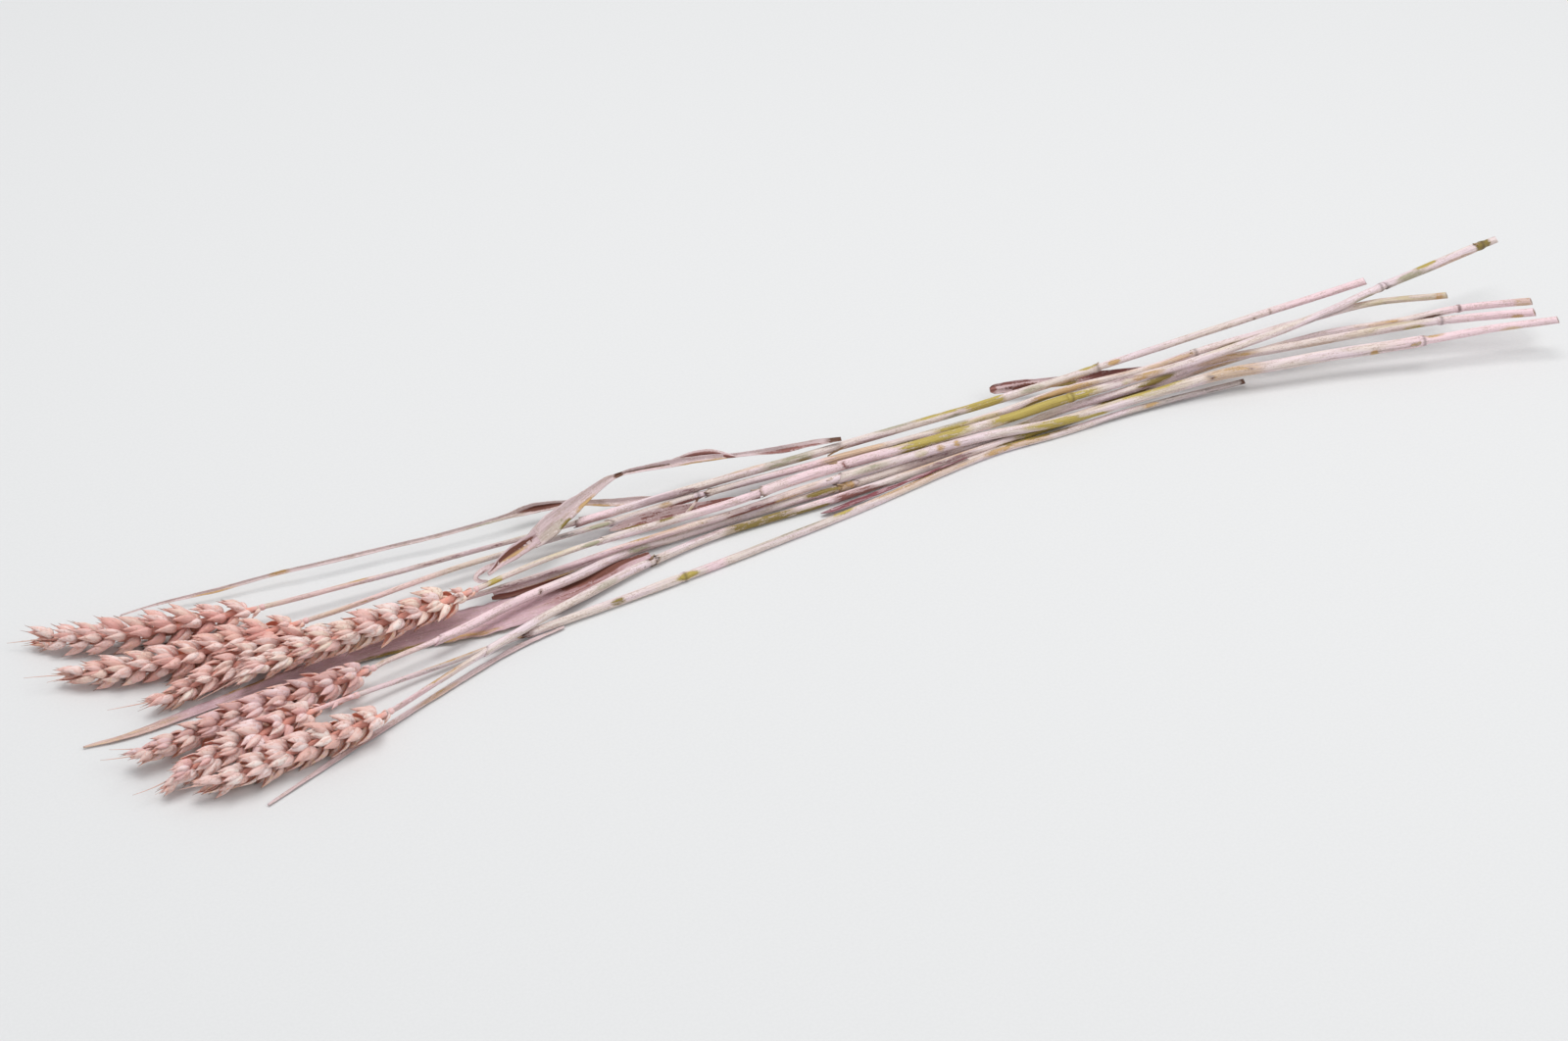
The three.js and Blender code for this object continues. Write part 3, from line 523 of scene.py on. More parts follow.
class Heap:
    """Points, faces and marks of one piece, gathered shell by shell."""

    def __init__(self):
        self.points, self.quads, self.tris, self.marks = [], [], [], {}
        self.count = 0

    def add(self, points, marks, quads, tris=()):
        for name, values in marks.items():
            self.marks.setdefault(name, []).append(values)
        self.points.append(points)
        self.quads += (quads + self.count).tolist()
        self.tris += [[corner + self.count for corner in face] for face in tris]
        self.count += len(points)

    def tube(self, rings, middle, **marks):
        """Rings of points, closed by a fan to the first and the last point of its middle."""
        for name, mark in marks.items():
            mark = spread(name, mark, rings)
            ends = [mark[0].mean(0), mark[-1].mean(0)]
            marks[name] = np.concatenate([mark.reshape((-1,) + mark.shape[2:]), ends])
        points = np.vstack([rings.reshape(-1, 3), middle[0], middle[-1]])
        self.add(points, marks, *tube_faces(*rings.shape[:2]))

    def sheet(self, top, under, **marks):
        """A thin closed sheet, by the points of its two faces. A mark may be a pair, one for
        each face."""
        for name, mark in marks.items():
            pair = mark if isinstance(mark, tuple) else (mark, mark)
            marks[name] = there_and_back(*(spread(name, face, top) for face in pair))
        self.add(there_and_back(top, under), marks, sheet_faces(*top.shape[:2]))


def side_faces(rows, around_row):
    """Quads between closed rows of points."""
    i = np.arange(rows - 1)[:, None] * around_row
    j = np.arange(around_row)
    k = (j + 1) % around_row
    return np.stack([i + j, i + k, i + around_row + k, i + around_row + j], -1).reshape(-1, 4)


def tube_faces(rings, sides):
    """Quads between rings of points, and a fan of triangles to a point at each end."""
    j = np.arange(sides)
    k = (j + 1) % sides
    start, last = rings * sides, (rings - 1) * sides
    first_fan = np.stack([k, j, np.full(sides, start)], -1)
    last_fan = np.stack([last + j, last + k, np.full(sides, start + 1)], -1)
    return side_faces(rings, sides), np.concatenate([first_fan, last_fan]).tolist()


def sheet_faces(rows, columns):
    """Each row of a sheet is its columns on the top face, then back on the face underneath."""
    ring = 2 * columns
    j = np.arange(columns - 1)
    back = ring - 1 - j
    first = np.stack([j, back, back - 1, j + 1], -1)
    last = np.stack([j, j + 1, back - 1, back], -1) + (rows - 1) * ring
    return np.concatenate([side_faces(rows, ring), first, last])


def turn_outward(mesh):
    """Turns every face of every closed shell outward."""
    shell = bmesh.new()
    shell.from_mesh(mesh)
    bmesh.ops.recalc_face_normals(shell, faces=shell.faces)
    shell.to_mesh(mesh)
    shell.free()


def link(name, data):
    """Adds an object with its data to the scene."""
    thing = bpy.data.objects.new(name, data)
    bpy.context.scene.collection.objects.link(thing)
    return thing


def make_piece(name, heap, node, slot, material):
    """One smooth piece from a heap. It stands for its CAD node."""
    points = np.concatenate(heap.points)
    points[:, 2] = np.maximum(points[:, 2], ABOVE_FLOOR)
    mesh = bpy.data.meshes.new(name)
    mesh.from_pydata((points * MM).tolist(), [], heap.quads + heap.tris)
    for mark, blocks in heap.marks.items():
        kind, field = ("FLOAT_VECTOR", "vector") if mark in VECTOR_MARKS else ("FLOAT", "value")
        layer = mesh.attributes.new(mark, kind, "POINT")
        layer.data.foreach_set(field, np.concatenate(blocks).ravel())
    turn_outward(mesh)
    mesh.materials.append(material)
    mesh.polygons.foreach_set("use_smooth", [True] * len(mesh.polygons))
    mesh.validate()
    piece = link(name, mesh)
    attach(piece, "root")
    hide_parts(node)


# ---- node materials ----
SOFT = {"interpolation_type": "SMOOTHSTEP"}
COLOURS = {"data_type": "RGBA"}
PAINT_ROUGH = 0.86          # dusty chalk paint on a straw or leaf
HUSK_PAINT_ROUGH = 0.85     # the same on a husk
HUSK_ROUGH = 0.62           # a bare papery husk
PLANT_IOR = 1.45            # wax and dry cell walls, and the paint's binder
LETS_GO = 0.06              # how sharply the paint breaks off, as a share of the patterns
STRAW_RELIEF = 0.16 * MM    # height of the ribs and of the paint's grit
HUSK_RELIEF = 0.32 * MM     # height of the veins of a husk


def linear(colour):
    """An sRGB hex colour as three linear values."""
    parts = [int(colour[i:i + 2], 16) / 255 for i in (1, 3, 5)]
    return [p / 12.92 if p <= 0.04045 else ((p + 0.055) / 1.055) ** 2.4 for p in parts]


def add_node(tree, kind, inputs, out=0, **settings):
    """Adds a node with its settings and links, and gives one of its outputs. An input takes
    a number, an sRGB hex colour or the output of another node."""
    node = tree.nodes.new("ShaderNode" + kind)
    for key, value in settings.items():
        setattr(node, key, value)
    for key, value in inputs.items():
        socket = node.inputs[key]
        if isinstance(value, bpy.types.NodeSocket):
            tree.links.new(value, socket)
        else:
            socket.default_value = [*linear(value), 1] if isinstance(value, str) else value
    return node.outputs[out] if node.outputs else None


def new_finish(name):
    """An empty material and the function that adds nodes to it."""
    material = bpy.data.materials.new(name)
    material.use_nodes = True
    material.node_tree.nodes.clear()
    return material, functools.partial(add_node, material.node_tree)


def layered(add, colour, *layers):
    """Lays colours one over another. Each layer shows where its pattern goes from start to full,
    and there by as much as most."""
    for pattern, start, full, most, over in layers:
        share = add("MapRange", {0: pattern, 1: start, 2: full, 4: most}, **SOFT)
        colour = add("Mix", {0: share, 6: colour, 7: over}, 2, **COLOURS)
    return colour


def dipped_finish(name, coats, shade, rib, edge, gloss):
    """Dry straw or leaf, ribbed lengthwise, dipped in thin chalky paint. The paint is matt and
    dusty, greyed in the grooves by painted shade, and broken off in long jagged patches where
    the waxy skin shows its own colour and a low shine."""
    material, add = new_finish(name)
    grain = add("Attribute", {}, "Vector", attribute_name="grain")
    skin = add("Attribute", {}, "Color", attribute_name="skin")
    bare, rosy, dark = (add("Attribute", {}, "Fac", attribute_name=mark)
                        for mark in ("bare", "rosy", "dark"))

    # each pattern's waves per mm across and along the straw, its detail and its roughness
    patterns = []
    for across, along, detail, crisp in (
            (rib, 0.05, 3.0, 0.5),        # ribs half a millimetre apart and 20 mm long
            (0.85, 0.13, 3.0, 0.5),       # flakes of paint 1.2 mm wide and 8 mm long
            (2.6, 1.3, 3.0, 0.5),         # their crumbly edges, in steps of 0.4 mm
            # grit drawn 0.6 mm across and 2 mm long, because the real dust would not show
            (1.6, 0.5, 4.0, 0.65),
            (0.25, 0.028, 2.0, 0.5)):     # thick and thin coats, 4 mm across and 36 mm along
        waves = add("VectorMath", {0: grain, 1: (across, across, along)}, operation="MULTIPLY")
        patterns.append(add("TexNoise", {"Vector": waves, "Scale": 1.0, "Detail": detail,
                                         "Roughness": crisp}, "Fac"))
    streak, flake, crumb, grit, pool = patterns

    # the skin, shaded between its ribs and specked with dark spots
    ribs = add("MapRange", {0: streak, 1: 0.38, 2: 0.7, 4: 0.5}, **SOFT)
    skin = add("Mix", {0: ribs, 6: skin, 7: shade}, 2, blend_type="MULTIPLY", **COLOURS)
    skin = layered(add, skin, (crumb, 0.6, 0.72, 0.3, "#5b4436"))

    paint = layered(add, coats[0], (pool, 0.36, 0.64, 1.0, coats[1]))
    paint = add("Mix", {0: rosy, 6: paint, 7: coats[2]}, 2, **COLOURS)
    rubbed = add("Math", {0: flake, 1: crumb}, operation="ADD")
    paint = layered(
        add, paint,
        (bare, 0.1, 0.6, 0.6, skin),              # thin, so that the skin shows through
        (streak, 0.46, 0.74, 0.55, coats[3]),     # painted shade, grey in the grooves between the ribs
        (rubbed, 1.02, 1.2, 0.55, "#b59c8b"),     # worn warm, in strokes along the straw
        (grit, 0.56, 0.7, 0.6, "#efe4e2"),        # thick chalky crumbs that stand up pale
        (grit, 0.42, 0.3, 0.42, "#9f8781"))       # pits between them, full of dirt

    # the paint lets go where bare, flake and crumb together pass the edge
    hold = add("Math", {0: crumb, 1: 0.7}, operation="MULTIPLY")
    for pattern, weight in ((flake, 1.6), (bare, 0.9)):
        hold = add("Math", {0: pattern, 1: weight, 2: hold}, operation="MULTIPLY_ADD")
    missed = add("MapRange", {0: hold, 1: edge, 2: edge + LETS_GO}, **SOFT)
    colour = add("Mix", {0: missed, 6: paint, 7: skin}, 2, **COLOURS)
    # dark knots, seams and torn edges, and painted shade in a straw's hollow
    colour = add("Mix", {0: dark, 6: colour, 7: "#3f2a24"}, 2, **COLOURS)

    # bare skin lies half a rib lower than the paint beside it
    height = add("Math", {0: missed, 1: -0.5, 2: streak}, operation="MULTIPLY_ADD")
    height = add("Math", {0: grit, 1: 0.9, 2: height}, operation="MULTIPLY_ADD")
    face = add("BsdfPrincipled", {
        "Base Color": colour, "IOR": PLANT_IOR,
        "Roughness": add("MapRange", {0: missed, 3: PAINT_ROUGH, 4: gloss}),
        "Normal": add("Bump", {"Strength": 1.0, "Distance": STRAW_RELIEF, "Height": height})})
    add("OutputMaterial", {"Surface": face})
    return material


def husk_finish():
    """Papery husks under the same paint, sprayed on from above and outside: pale and chalky
    with fine veins on the bellies, red-brown inside and between them, tan underneath, and
    grey-brown at the stiff points. The tan underneath is partly bare husk and partly painted
    shade. The red inside is the husk's own colour, made warm to stand in for light through
    the husks, and on the core between them it is painted shade."""
    material, add = new_finish("papery_husk_under_chalk_paint")
    grain = add("Attribute", {}, "Vector", attribute_name="grain")
    coat = add("Attribute", {}, "Color", attribute_name="coat")
    reach, inner, tint, faced = (add("Attribute", {}, "Fac", attribute_name=mark)
                                 for mark in ("reach", "inner", "tint", "faced"))

    # veins drawn 0.9 mm apart along a husk, coarser than the real 0.4 mm, which would not
    # show in the picture, and flecks about 1 mm across
    veined = add("VectorMath", {0: grain, 1: (1.15, 1.15, 0.14)}, operation="MULTIPLY")
    vein = add("TexNoise", {"Vector": veined, "Scale": 1.0, "Detail": 3.0}, "Fac")
    fleck = add("TexNoise", {"Vector": grain, "Scale": 0.9, "Detail": 4.0}, "Fac")

    # the husk's colours, most of all the red inside, are warm and bright to stand in for light
    # shining through the thin husks: a painted glow
    husk = add("Mix", {0: tint, 6: "#f3b19d", 7: "#efc8a8"}, 2, **COLOURS)
    husk = layered(add, husk, (vein, 0.4, 0.7, 0.5, "#dc9a80"))
    inside = add("Mix", {0: inner, 6: husk, 7: "#ee9681"}, 2, **COLOURS)
    paint = layered(
        add, coat,
        (vein, 0.44, 0.7, 0.7, "#dfaa9e"),        # thin on the veins
        (reach, 0.5, 1.0, 0.45, "#dba296"),       # thinner towards the tip
        (fleck, 0.57, 0.68, 0.5, "#bb9280"))      # crumbs of dry paint and dirt
    # husks turned up and to the front take the paint and look lit; those turned away stay tan,
    # partly bare husk and partly painted shade
    spray_and_light = add("Math", {0: faced, 1: 0.35, 2: fleck}, operation="MULTIPLY_ADD")
    covered_and_lit = add("MapRange", {0: spray_and_light, 1: 0.4, 2: 0.62}, **SOFT)
    outside = add("Mix", {0: covered_and_lit, 6: husk, 7: paint}, 2, **COLOURS)
    colour = add("Mix", {0: inner, 6: outside, 7: inside}, 2, **COLOURS)
    colour = layered(add, colour, (reach, 0.93, 1.05, 0.75, "#86695c"))

    height = add("Math", {0: fleck, 1: 0.4, 2: vein}, operation="MULTIPLY_ADD")
    # light passes through a husk as thin as paper, and warms the gaps between them
    face = add("BsdfPrincipled", {
        "Base Color": colour, "IOR": PLANT_IOR,
        "Roughness": add("MapRange", {0: covered_and_lit, 3: HUSK_ROUGH, 4: HUSK_PAINT_ROUGH}),
        "Subsurface Weight": 0.25, "Subsurface Scale": 0.8 * MM,
        "Subsurface Radius": (1.0, 0.75, 0.65),
        "Normal": add("Bump", {"Strength": 1.0, "Distance": HUSK_RELIEF, "Height": height})})
    add("OutputMaterial", {"Surface": face})
    return material


# the paint where it is thin, thick, clear pink, and grey with painted shade in the grooves
PAINT = ("#ecd8dd", "#e5d6cd", "#f2d5da", "#b29c9d")
LEAF_PAINT = ("#e0cccb", "#d5c3c0", "#d2b2ba", "#a98e8c")
# after its paint, each finish has what shades the skin between its ribs, its ribs per mm, the
# edge at which the paint lets go, and the skin's roughness
STRAW_FINISH = dipped_finish("wheat_straw_under_chalk_paint", PAINT, "#c4b09c", 2.2, 1.77, 0.42)
LEAF_FINISH = dipped_finish("dry_leaf_under_chalk_paint", LEAF_PAINT, "#b4988a", 1.9, 1.77, 0.6)
BARE_LEAF_FINISH = dipped_finish("dry_leaf_with_traces_of_paint", LEAF_PAINT, "#b4988a", 1.9,
                                 1.6, 0.6)
HUSK_FINISH = husk_finish()


# ---- the paint on straws and leaves ----
def paint_marks(shape, places, base):
    """How bare each point is and the colour of its skin. Each place has, for every point, how
    far it is from the middle of a patch (1 is its edge), with the patch's amount and colour."""
    bare = np.zeros(shape)
    nearest = np.full(shape, np.inf)
    skin = np.broadcast_to(linear(SKINS[base]), shape + (3,)).copy()
    for away, amount, colour in places:
        bare = np.maximum(bare, amount * (1 - eased(0.55, 1.45, away)))
        skin[(away < nearest) & (away < 2)] = linear(SKINS[colour])
        nearest = np.minimum(nearest, away)
    return bare, skin


def straw_marks(straw, s, turn):
    """Paint marks at points of a straw, by distance along it and turn round it."""
    s, turn = np.broadcast_arrays(s, turn)
    places = []
    for middle, half, side, amount, colour in PATCHES[straw["name"]]:
        facing, width = SIDES[side]
        off = (np.degrees(turn) - facing + 180) % 360 - 180
        places.append((np.hypot((s - middle) / half, off / width), amount, colour))
    bare, skin = paint_marks(s.shape, places, "tan")
    rosy = np.max([1 - eased(0.5, 1.3, np.abs(s - middle) / half)
                   for middle, half in ROSY[straw["name"]]], 0)
    return bare, skin, rosy


# ---- straws ----
def rolled(radius, turn, s):
    """Pattern places on a tube: out from its middle line, and along it."""
    return np.stack(np.broadcast_arrays(radius * np.cos(turn), radius * np.sin(turn), s), -1)


def wander(straw, route, s):
    """The line that a straw follows: its route with small natural bends."""
    return route.at(s) + ripple(s, straw["seed"] + 1, BENDS)[..., None] * route.axes(s)[2]


def stem_radius(straw, s):
    """The stem itself: inside a sheath it is thinner than the girth by the sheath."""
    radius = read(straw["girth"], s)
    for start, end, _, _ in straw["sheaths"]:
        inside = eased(start - 1, start + 1, s) * (1 - eased(end - 1, end + 1, s))
        radius = radius - (SHEATH + SHEATH_GAP) * inside
    for knot in straw["knots"]:
        away = np.abs(s - knot)
        radius = radius + KNOT * hump(away, KNOT_HALF) - NECK * hump(away - 2 * KNOT_HALF, 0.7)
    return radius


def add_stem(heap, straw, route):
    """The straw, from the bottom of its hollow out to the rim, and on into its ear."""
    seed = straw["seed"]
    end = route.length - EARS[straw["ear"]]["length"] + INTO_EAR
    near_knots = [knot + np.arange(-3, 3.1, 0.5) for knot in straw["knots"]]
    s = np.unique(np.concatenate([np.arange(0, end, STRAW_STEP), *near_knots, [end]]))
    s = s[(s >= 0) & (s <= end)]
    outer = stem_radius(straw, s)
    bore = outer[0] * (1 - WALL)
    s = np.concatenate([[HOLLOW, RIM], s])[:, None]
    outer = np.concatenate([[bore, bore], outer])[:, None]
    turn = turns(STRAW_SIDES)
    radius = outer * (1 + OUT_OF_ROUND * np.cos(2 * turn + s * 0.02 + seed))
    radius = radius + (s > 1) * ripple(s + 6 * np.cos(turn), seed, *DENTS)
    slant = (s <= RIM) * SLANT * np.cos(turn - SLANT_SIDE) * outer
    along, across, up = route.axes(s)
    middle = wander(straw, route, s)
    points = middle + radius[..., None] * around(turn, across, up) + slant[..., None] * along

    bare, skin, rosy = straw_marks(straw, s, turn)
    past_sheaths = eased(0, 12, s - straw["sheaths"][-1][1])
    bare = np.maximum(bare, UPPER_BARE * past_sheaths)
    dark = KNOT_DARK * np.max([hump(s - knot, 0.8) for knot in straw["knots"]], 0)
    # the hollow is bare straw, darkened with painted shade
    bare[:2], dark[:2] = 1, HOLLOW_SHADE
    heap.tube(points, middle, grain=rolled(radius, turn, s) + seed * APART, bare=bare, skin=skin,
              rosy=rosy, dark=dark)


def add_sheath(heap, straw, route, sheath, seed):
    """A leaf sheath: a thin sheet rolled round the stem, lapped along its seam, with a torn
    slanting mouth."""
    start, end, seam, ragged = sheath
    rng = np.random.default_rng(seed)
    rows = max(int((end - start) / SHEATH_STEP), 8)
    lap = np.linspace(0, 1, SHEATH_COLUMNS)
    turn = math.radians(seam) + lap * (TAU + SHEATH_LAP)
    torn = MOUTH_SLANT * np.cos(turn - rng.uniform(0, TAU))
    torn = torn + rng.normal(0, MOUTH_TEAR, SHEATH_COLUMNS) * ragged
    s = start + (end + torn - start) * np.linspace(0, 1, rows + 1)[:, None]
    fit = read(straw["girth"], np.clip(s, start + 2, end - 2))
    fit = fit + SHEATH_GAP * lap + ripple(s, seed, *SHEATH_WAVES)
    # drawn in where it grows from the knot, and opened at a ragged mouth
    fit = fit - 0.15 * (1 - eased(0, 3, s - start)) + 0.3 * ragged * (1 - eased(0, 3.5, end - s))
    _, across, up = route.axes(s)
    middle, out = wander(straw, route, s), around(turn, across, up)
    outer, inner = (middle + radius[..., None] * out for radius in (fit, fit - SHEATH))

    bare, skin, rosy = straw_marks(straw, s, turn)
    lip = ragged * (1 - eased(0.2, 2.2, end + torn - s))        # the last two millimetres
    dark = np.maximum(0.3 * eased(0.95, 1.0, lap), 0.35 * lip)
    heap.sheet(outer, inner, grain=rolled(fit, turn, s) + seed * APART, skin=skin, rosy=rosy,
               bare=np.maximum(bare, 0.55 * lip), dark=dark)


def add_scrap(heap, straw, route, scrap, seed):
    """A torn bit of sheath: a small pointed strip that stands off the straw."""
    start, degrees, length, half, lift, tint = scrap
    rng = np.random.default_rng(seed)
    t, w = np.linspace(0, 1, SCRAP_ROWS), np.linspace(-1, 1, SCRAP_COLUMNS)
    s = start + t * length
    _, across, up = route.axes(s)
    turn = math.radians(degrees)
    out, side = around(turn, across, up), around(turn + math.pi / 2, across, up)
    stand = read(straw["girth"], s) - 0.1 + lift * t**1.6
    middle = wander(straw, route, s) + stand[:, None] * out
    jag = rng.normal(0, 0.12, (SCRAP_ROWS, SCRAP_COLUMNS)) * half
    place = (half * (1 - t**1.8) + 0.12)[:, None] * w + jag
    cupped = np.broadcast_to(-0.35 * half * w**2, place.shape)
    outer = middle[:, None] + place[..., None] * side[:, None] + cupped[..., None] * out[:, None]
    grain = np.stack(np.broadcast_arrays(place, cupped, s[:, None]), -1) + seed * 11.0
    heap.sheet(outer, outer - SHEATH * out[:, None], grain=grain, skin=linear(SKINS["tan"]),
               rosy=0, bare=0.2 + 0.6 * tint, dark=0.45 * tint)


def make_straw(straw):
    route = Route(straw["route"])
    heap = Heap()
    add_stem(heap, straw, route)
    for i, sheath in enumerate(straw["sheaths"]):
        add_sheath(heap, straw, route, sheath, straw["seed"] * 10 + i)
    for i, scrap in enumerate(SCRAPS[straw["name"]]):
        add_scrap(heap, straw, route, scrap, straw["seed"] * 100 + i)
    make_piece("wheat_" + straw["name"], heap, straw["name"], "straw", STRAW_FINISH)


# ---- ears ----
# A husk from foot to tip: share of its length, of its half width, of its depth, and how far
# its edges wrap round, in degrees. A glume is blunt and broad near its foot; a lemma is
# longer and holds the grain. The beak runs on from either, by shares of its own length.
GLUME = np.array([[-.03, .1, .12, 140], [.01, .42, .5, 104], [.08, .74, .82, 96],
                  [.19, .94, 1, 94], [.32, 1, 1, 92], [.46, .88, .88, 92],
                  [.6, .68, .68, 92], [.74, .46, .5, 95], [.87, .25, .3, 105],
                  [1, .08, .12, 140]])
LEMMA = np.array([[-.03, .1, .12, 160], [.02, .4, .48, 160], [.1, .66, .72, 155],
                  [.24, .9, .92, 150], [.4, 1, 1, 145], [.55, .86, .9, 135],
                  [.69, .62, .7, 125], [.82, .38, .46, 125], [.93, .18, .22, 140],
                  [1, .08, .11, 160]])
BEAK = np.array([[.4, .06, .06, 160], [.75, .045, .045, 160], [1, .025, .025, 160]])

SPRAY_AND_LIGHT_FROM = unit(np.array([-0.35, -0.5, 0.8]))         # the side that the paint came from, and the lit side: husks turned away get painted shade

# The husks of a spikelet: shape, whether there is one at each side, lean, spread, how far its
# face turns aside, place as [aside, out, along], size as [length, width, depth, bow], and
# length of the point.
FAN = [
    (GLUME, True, 17, 26, 1.2, [1.6, -0.2, 0.0], [8.8, 3.9, 2.1, 0.6], 0.5),
    (LEMMA, True, 26, 18, 0.8, [1.2, 0.5, 1.0], [10.8, 3.2, 1.8, 0.5], 1.2),
    (LEMMA, True, 37, 8, 0.35, [0.6, 1.3, 2.1], [10.2, 2.9, 1.6, 0.4], 1.1),
    (LEMMA, False, 46, 1, 0.0, [0.0, 1.9, 3.4], [8.4, 2.6, 1.4, 0.3], 0.8),
]


def husk_axes(direction, outward):
    normal = unit(outward - direction * np.dot(outward, direction))
    return np.stack([np.cross(direction, normal), normal, direction])


def add_husk(heap, outline, foot, direction, outward, size, beak, shut, coat, rng):
    """One husk: a thin boat-shaped scale with a keel, open towards the ear, that ends in a
    stiff point. Its edges wrap round at least to shut, in degrees."""
    length, width, depth, bow = size
    u = np.concatenate([outline[:, 0], 1 + BEAK[:, 0] * beak / length])[:, None]
    half, deep, wrap = (column[:, None] for column in np.vstack([outline, BEAK])[:, 1:].T)
    half, deep = half * width / 2, deep * depth
    phi = np.radians(np.maximum(wrap, shut)) * np.linspace(-1, 1, HUSK_COLUMNS)
    thick = np.minimum(HUSK_THICK, 0.55 * np.minimum(half, deep))
    keel = 1 + KEEL * np.maximum(np.cos(phi), 0) ** 12 + 0.03 * np.cos(6 * phi)
    lift = bow * (np.sin(np.pi * np.minimum(u, 1)) - 0.2 * u**2)
    skew = rng.normal(0, 0.25) * u**2
    axes = husk_axes(direction, outward)
    faces = []
    for inset in (0, thick):
        x = (half - inset) * np.sin(phi) + skew
        z = (deep - inset) * np.cos(phi) * keel + lift
        local = np.stack(np.broadcast_arrays(x, z, u * length), -1)
        faces.append(foot + local @ axes)
    heap.sheet(*faces, reach=np.where(u > 1, 1.1, u), tint=rng.uniform(0, 1),
               faced=0.5 + 0.5 * np.dot(axes[1], SPRAY_AND_LIGHT_FROM), inner=(0, HUSK_INSIDE), coat=coat,
               grain=local + rng.uniform(-500, 500, 3))


def add_grain(heap, foot, direction, outward, size, rng):
    """The floret inside a husk: a closed plump body that fills it."""
    length, width, depth = size
    u = np.array([0.03, 0.14, 0.32, 0.55, 0.76, 0.93])[:, None]
    plump, raised, turn = np.sqrt(np.sin(np.pi * u)), depth * 0.25, turns(GRAIN_SIDES)
    x = plump * width / 2 * np.cos(turn)
    z = plump * depth / 2 * np.sin(turn) + raised
    local = np.stack(np.broadcast_arrays(x, z, u * length), -1)
    axes = husk_axes(direction, outward)
    ends = foot + np.array([[0, raised, 0], [0, raised, length]]) @ axes
    heap.tube(foot + local @ axes, ends, reach=0.5, tint=rng.uniform(0, 1), faced=0.4,
              inner=0.3, coat=linear(GRAIN_COAT), grain=local + rng.uniform(-500, 500, 3))


def leaning(along, out, side, lean, spread_aside):
    """A direction that leans out from the ear and spreads to the side, in degrees."""
    a, b = math.radians(lean), math.radians(spread_aside)
    return unit(along * math.cos(a) * math.cos(b) + out * math.sin(a) + side * math.sin(b))


def add_spikelet(heap, foot, axes, size, opened, lifted, point_size, shut, ear, rng):
    """A fan of husks: a broad glume at each side, two pairs of lemmas between and one in the
    middle."""
    along, out, side = axes
    for outline, paired, lean, splay, aside, place, measures, point in FAN:
        for hand in (-1, 1) if paired else (1,):
            direction = leaning(along, out, side, lean * lifted + rng.normal(0, LEAN_PLAY),
                                (splay * opened + rng.normal(0, SPREAD_PLAY)) * hand)
            normal = unit(out + side * (hand * aside + rng.normal(0, 0.16)))
            at = foot + (side * place[0] * hand + out * place[1] + along * place[2]) * size
            length, width, depth, bow = (m * size * rng.uniform(1 - HUSK_PLAY, 1 + HUSK_PLAY)
                                         for m in measures)
            width = width * ear["plump"]
            first, second = (np.array(linear(ear["coats"][k]))
                             for k in rng.choice(len(ear["coats"]), 2))
            coat = first + (second - first) * rng.uniform(0, 1)
            add_husk(heap, outline, at, direction, normal, (length, width, depth, bow),
                     point * point_size * rng.uniform(0.4, 1.6), shut, coat, rng)
            if outline is LEMMA:
                add_grain(heap, at, direction, normal,
                          (length * 0.84, width * 0.78, depth * 0.95), rng)


def add_awn(heap, foot, direction, length, droop, rng):
    """A long thin bristle, tapering and a little bent."""
    t = np.linspace(0, 1, AWN_ROWS)[:, None]
    bend = unit(np.cross(direction, rng.normal(0, 1, 3)))
    line = foot + direction * t * length + bend * droop * t**2
    across = unit(np.cross(direction, UP))
    ring = around(turns(AWN_SIDES), across, np.cross(across, direction))
    points = line[:, None] + (AWN_FOOT * (1 - t) + AWN_TIP)[..., None] * ring
    heap.tube(points, line, reach=0.6 + 0.4 * t, tint=0.5, faced=0.6, inner=0,
              coat=linear(AWN_COAT), grain=points - foot)


def add_core(heap, route, start, ear, reach):
    """The rachis with the dense middle of the ear, thin where it is bare and at its tip."""
    bare = ear["bare"]
    table = [[-1.5, RACHIS], [-0.5, RACHIS * 1.4], [0.8, RACHIS], [bare + 1, RACHIS * 0.85],
             [bare + 10, CORE], [reach * 0.75, CORE * 0.8], [reach, RACHIS * 0.7],
             [reach + 4, 0.3]]
    s = np.arange(-1.5, reach + 4, CORE_STEP)[:, None]
    radius = read(table, s) + 0.12 * np.abs(np.sin(s * math.pi / PITCH))
    turn = turns(CORE_SIDES)
    _, across, up = route.axes(start + s)
    middle = route.at(start + s)
    # under the spikelets the core turns to the husk's red and a thinner coat: painted shade where
    # they cover it
    deep = eased(bare, bare + 5, s)
    heap.tube(middle + radius[..., None] * around(turn, across, up), middle, reach=0.9 * deep,
              tint=0.3, faced=0.9, inner=0.6 * deep, coat=linear(CORE_COAT),
              grain=rolled(radius, turn, s))


def add_flaps(heap, route, start, ear, rng):
    """Stubs of the lowest spikelets that stand off the bare foot of an ear."""
    for i, s in enumerate(np.arange(1.0, ear["bare"], 3.4)):
        along, across, up = route.axes(start + s)
        out = around(math.radians(ear["roll"] + 180 * i) + rng.uniform(-0.6, 0.6), across, up)
        foot = route.at(start + s) + out * RACHIS * 0.5
        direction = leaning(along, out, np.cross(along, out), rng.uniform(12, 40),
                            rng.normal(0, 14))
        add_husk(heap, GLUME, foot, direction, out, (rng.uniform(3.6, 6.0), 1.7, 0.6, 0.2), 0.3,
                 0, linear(FLAP_COAT), rng)


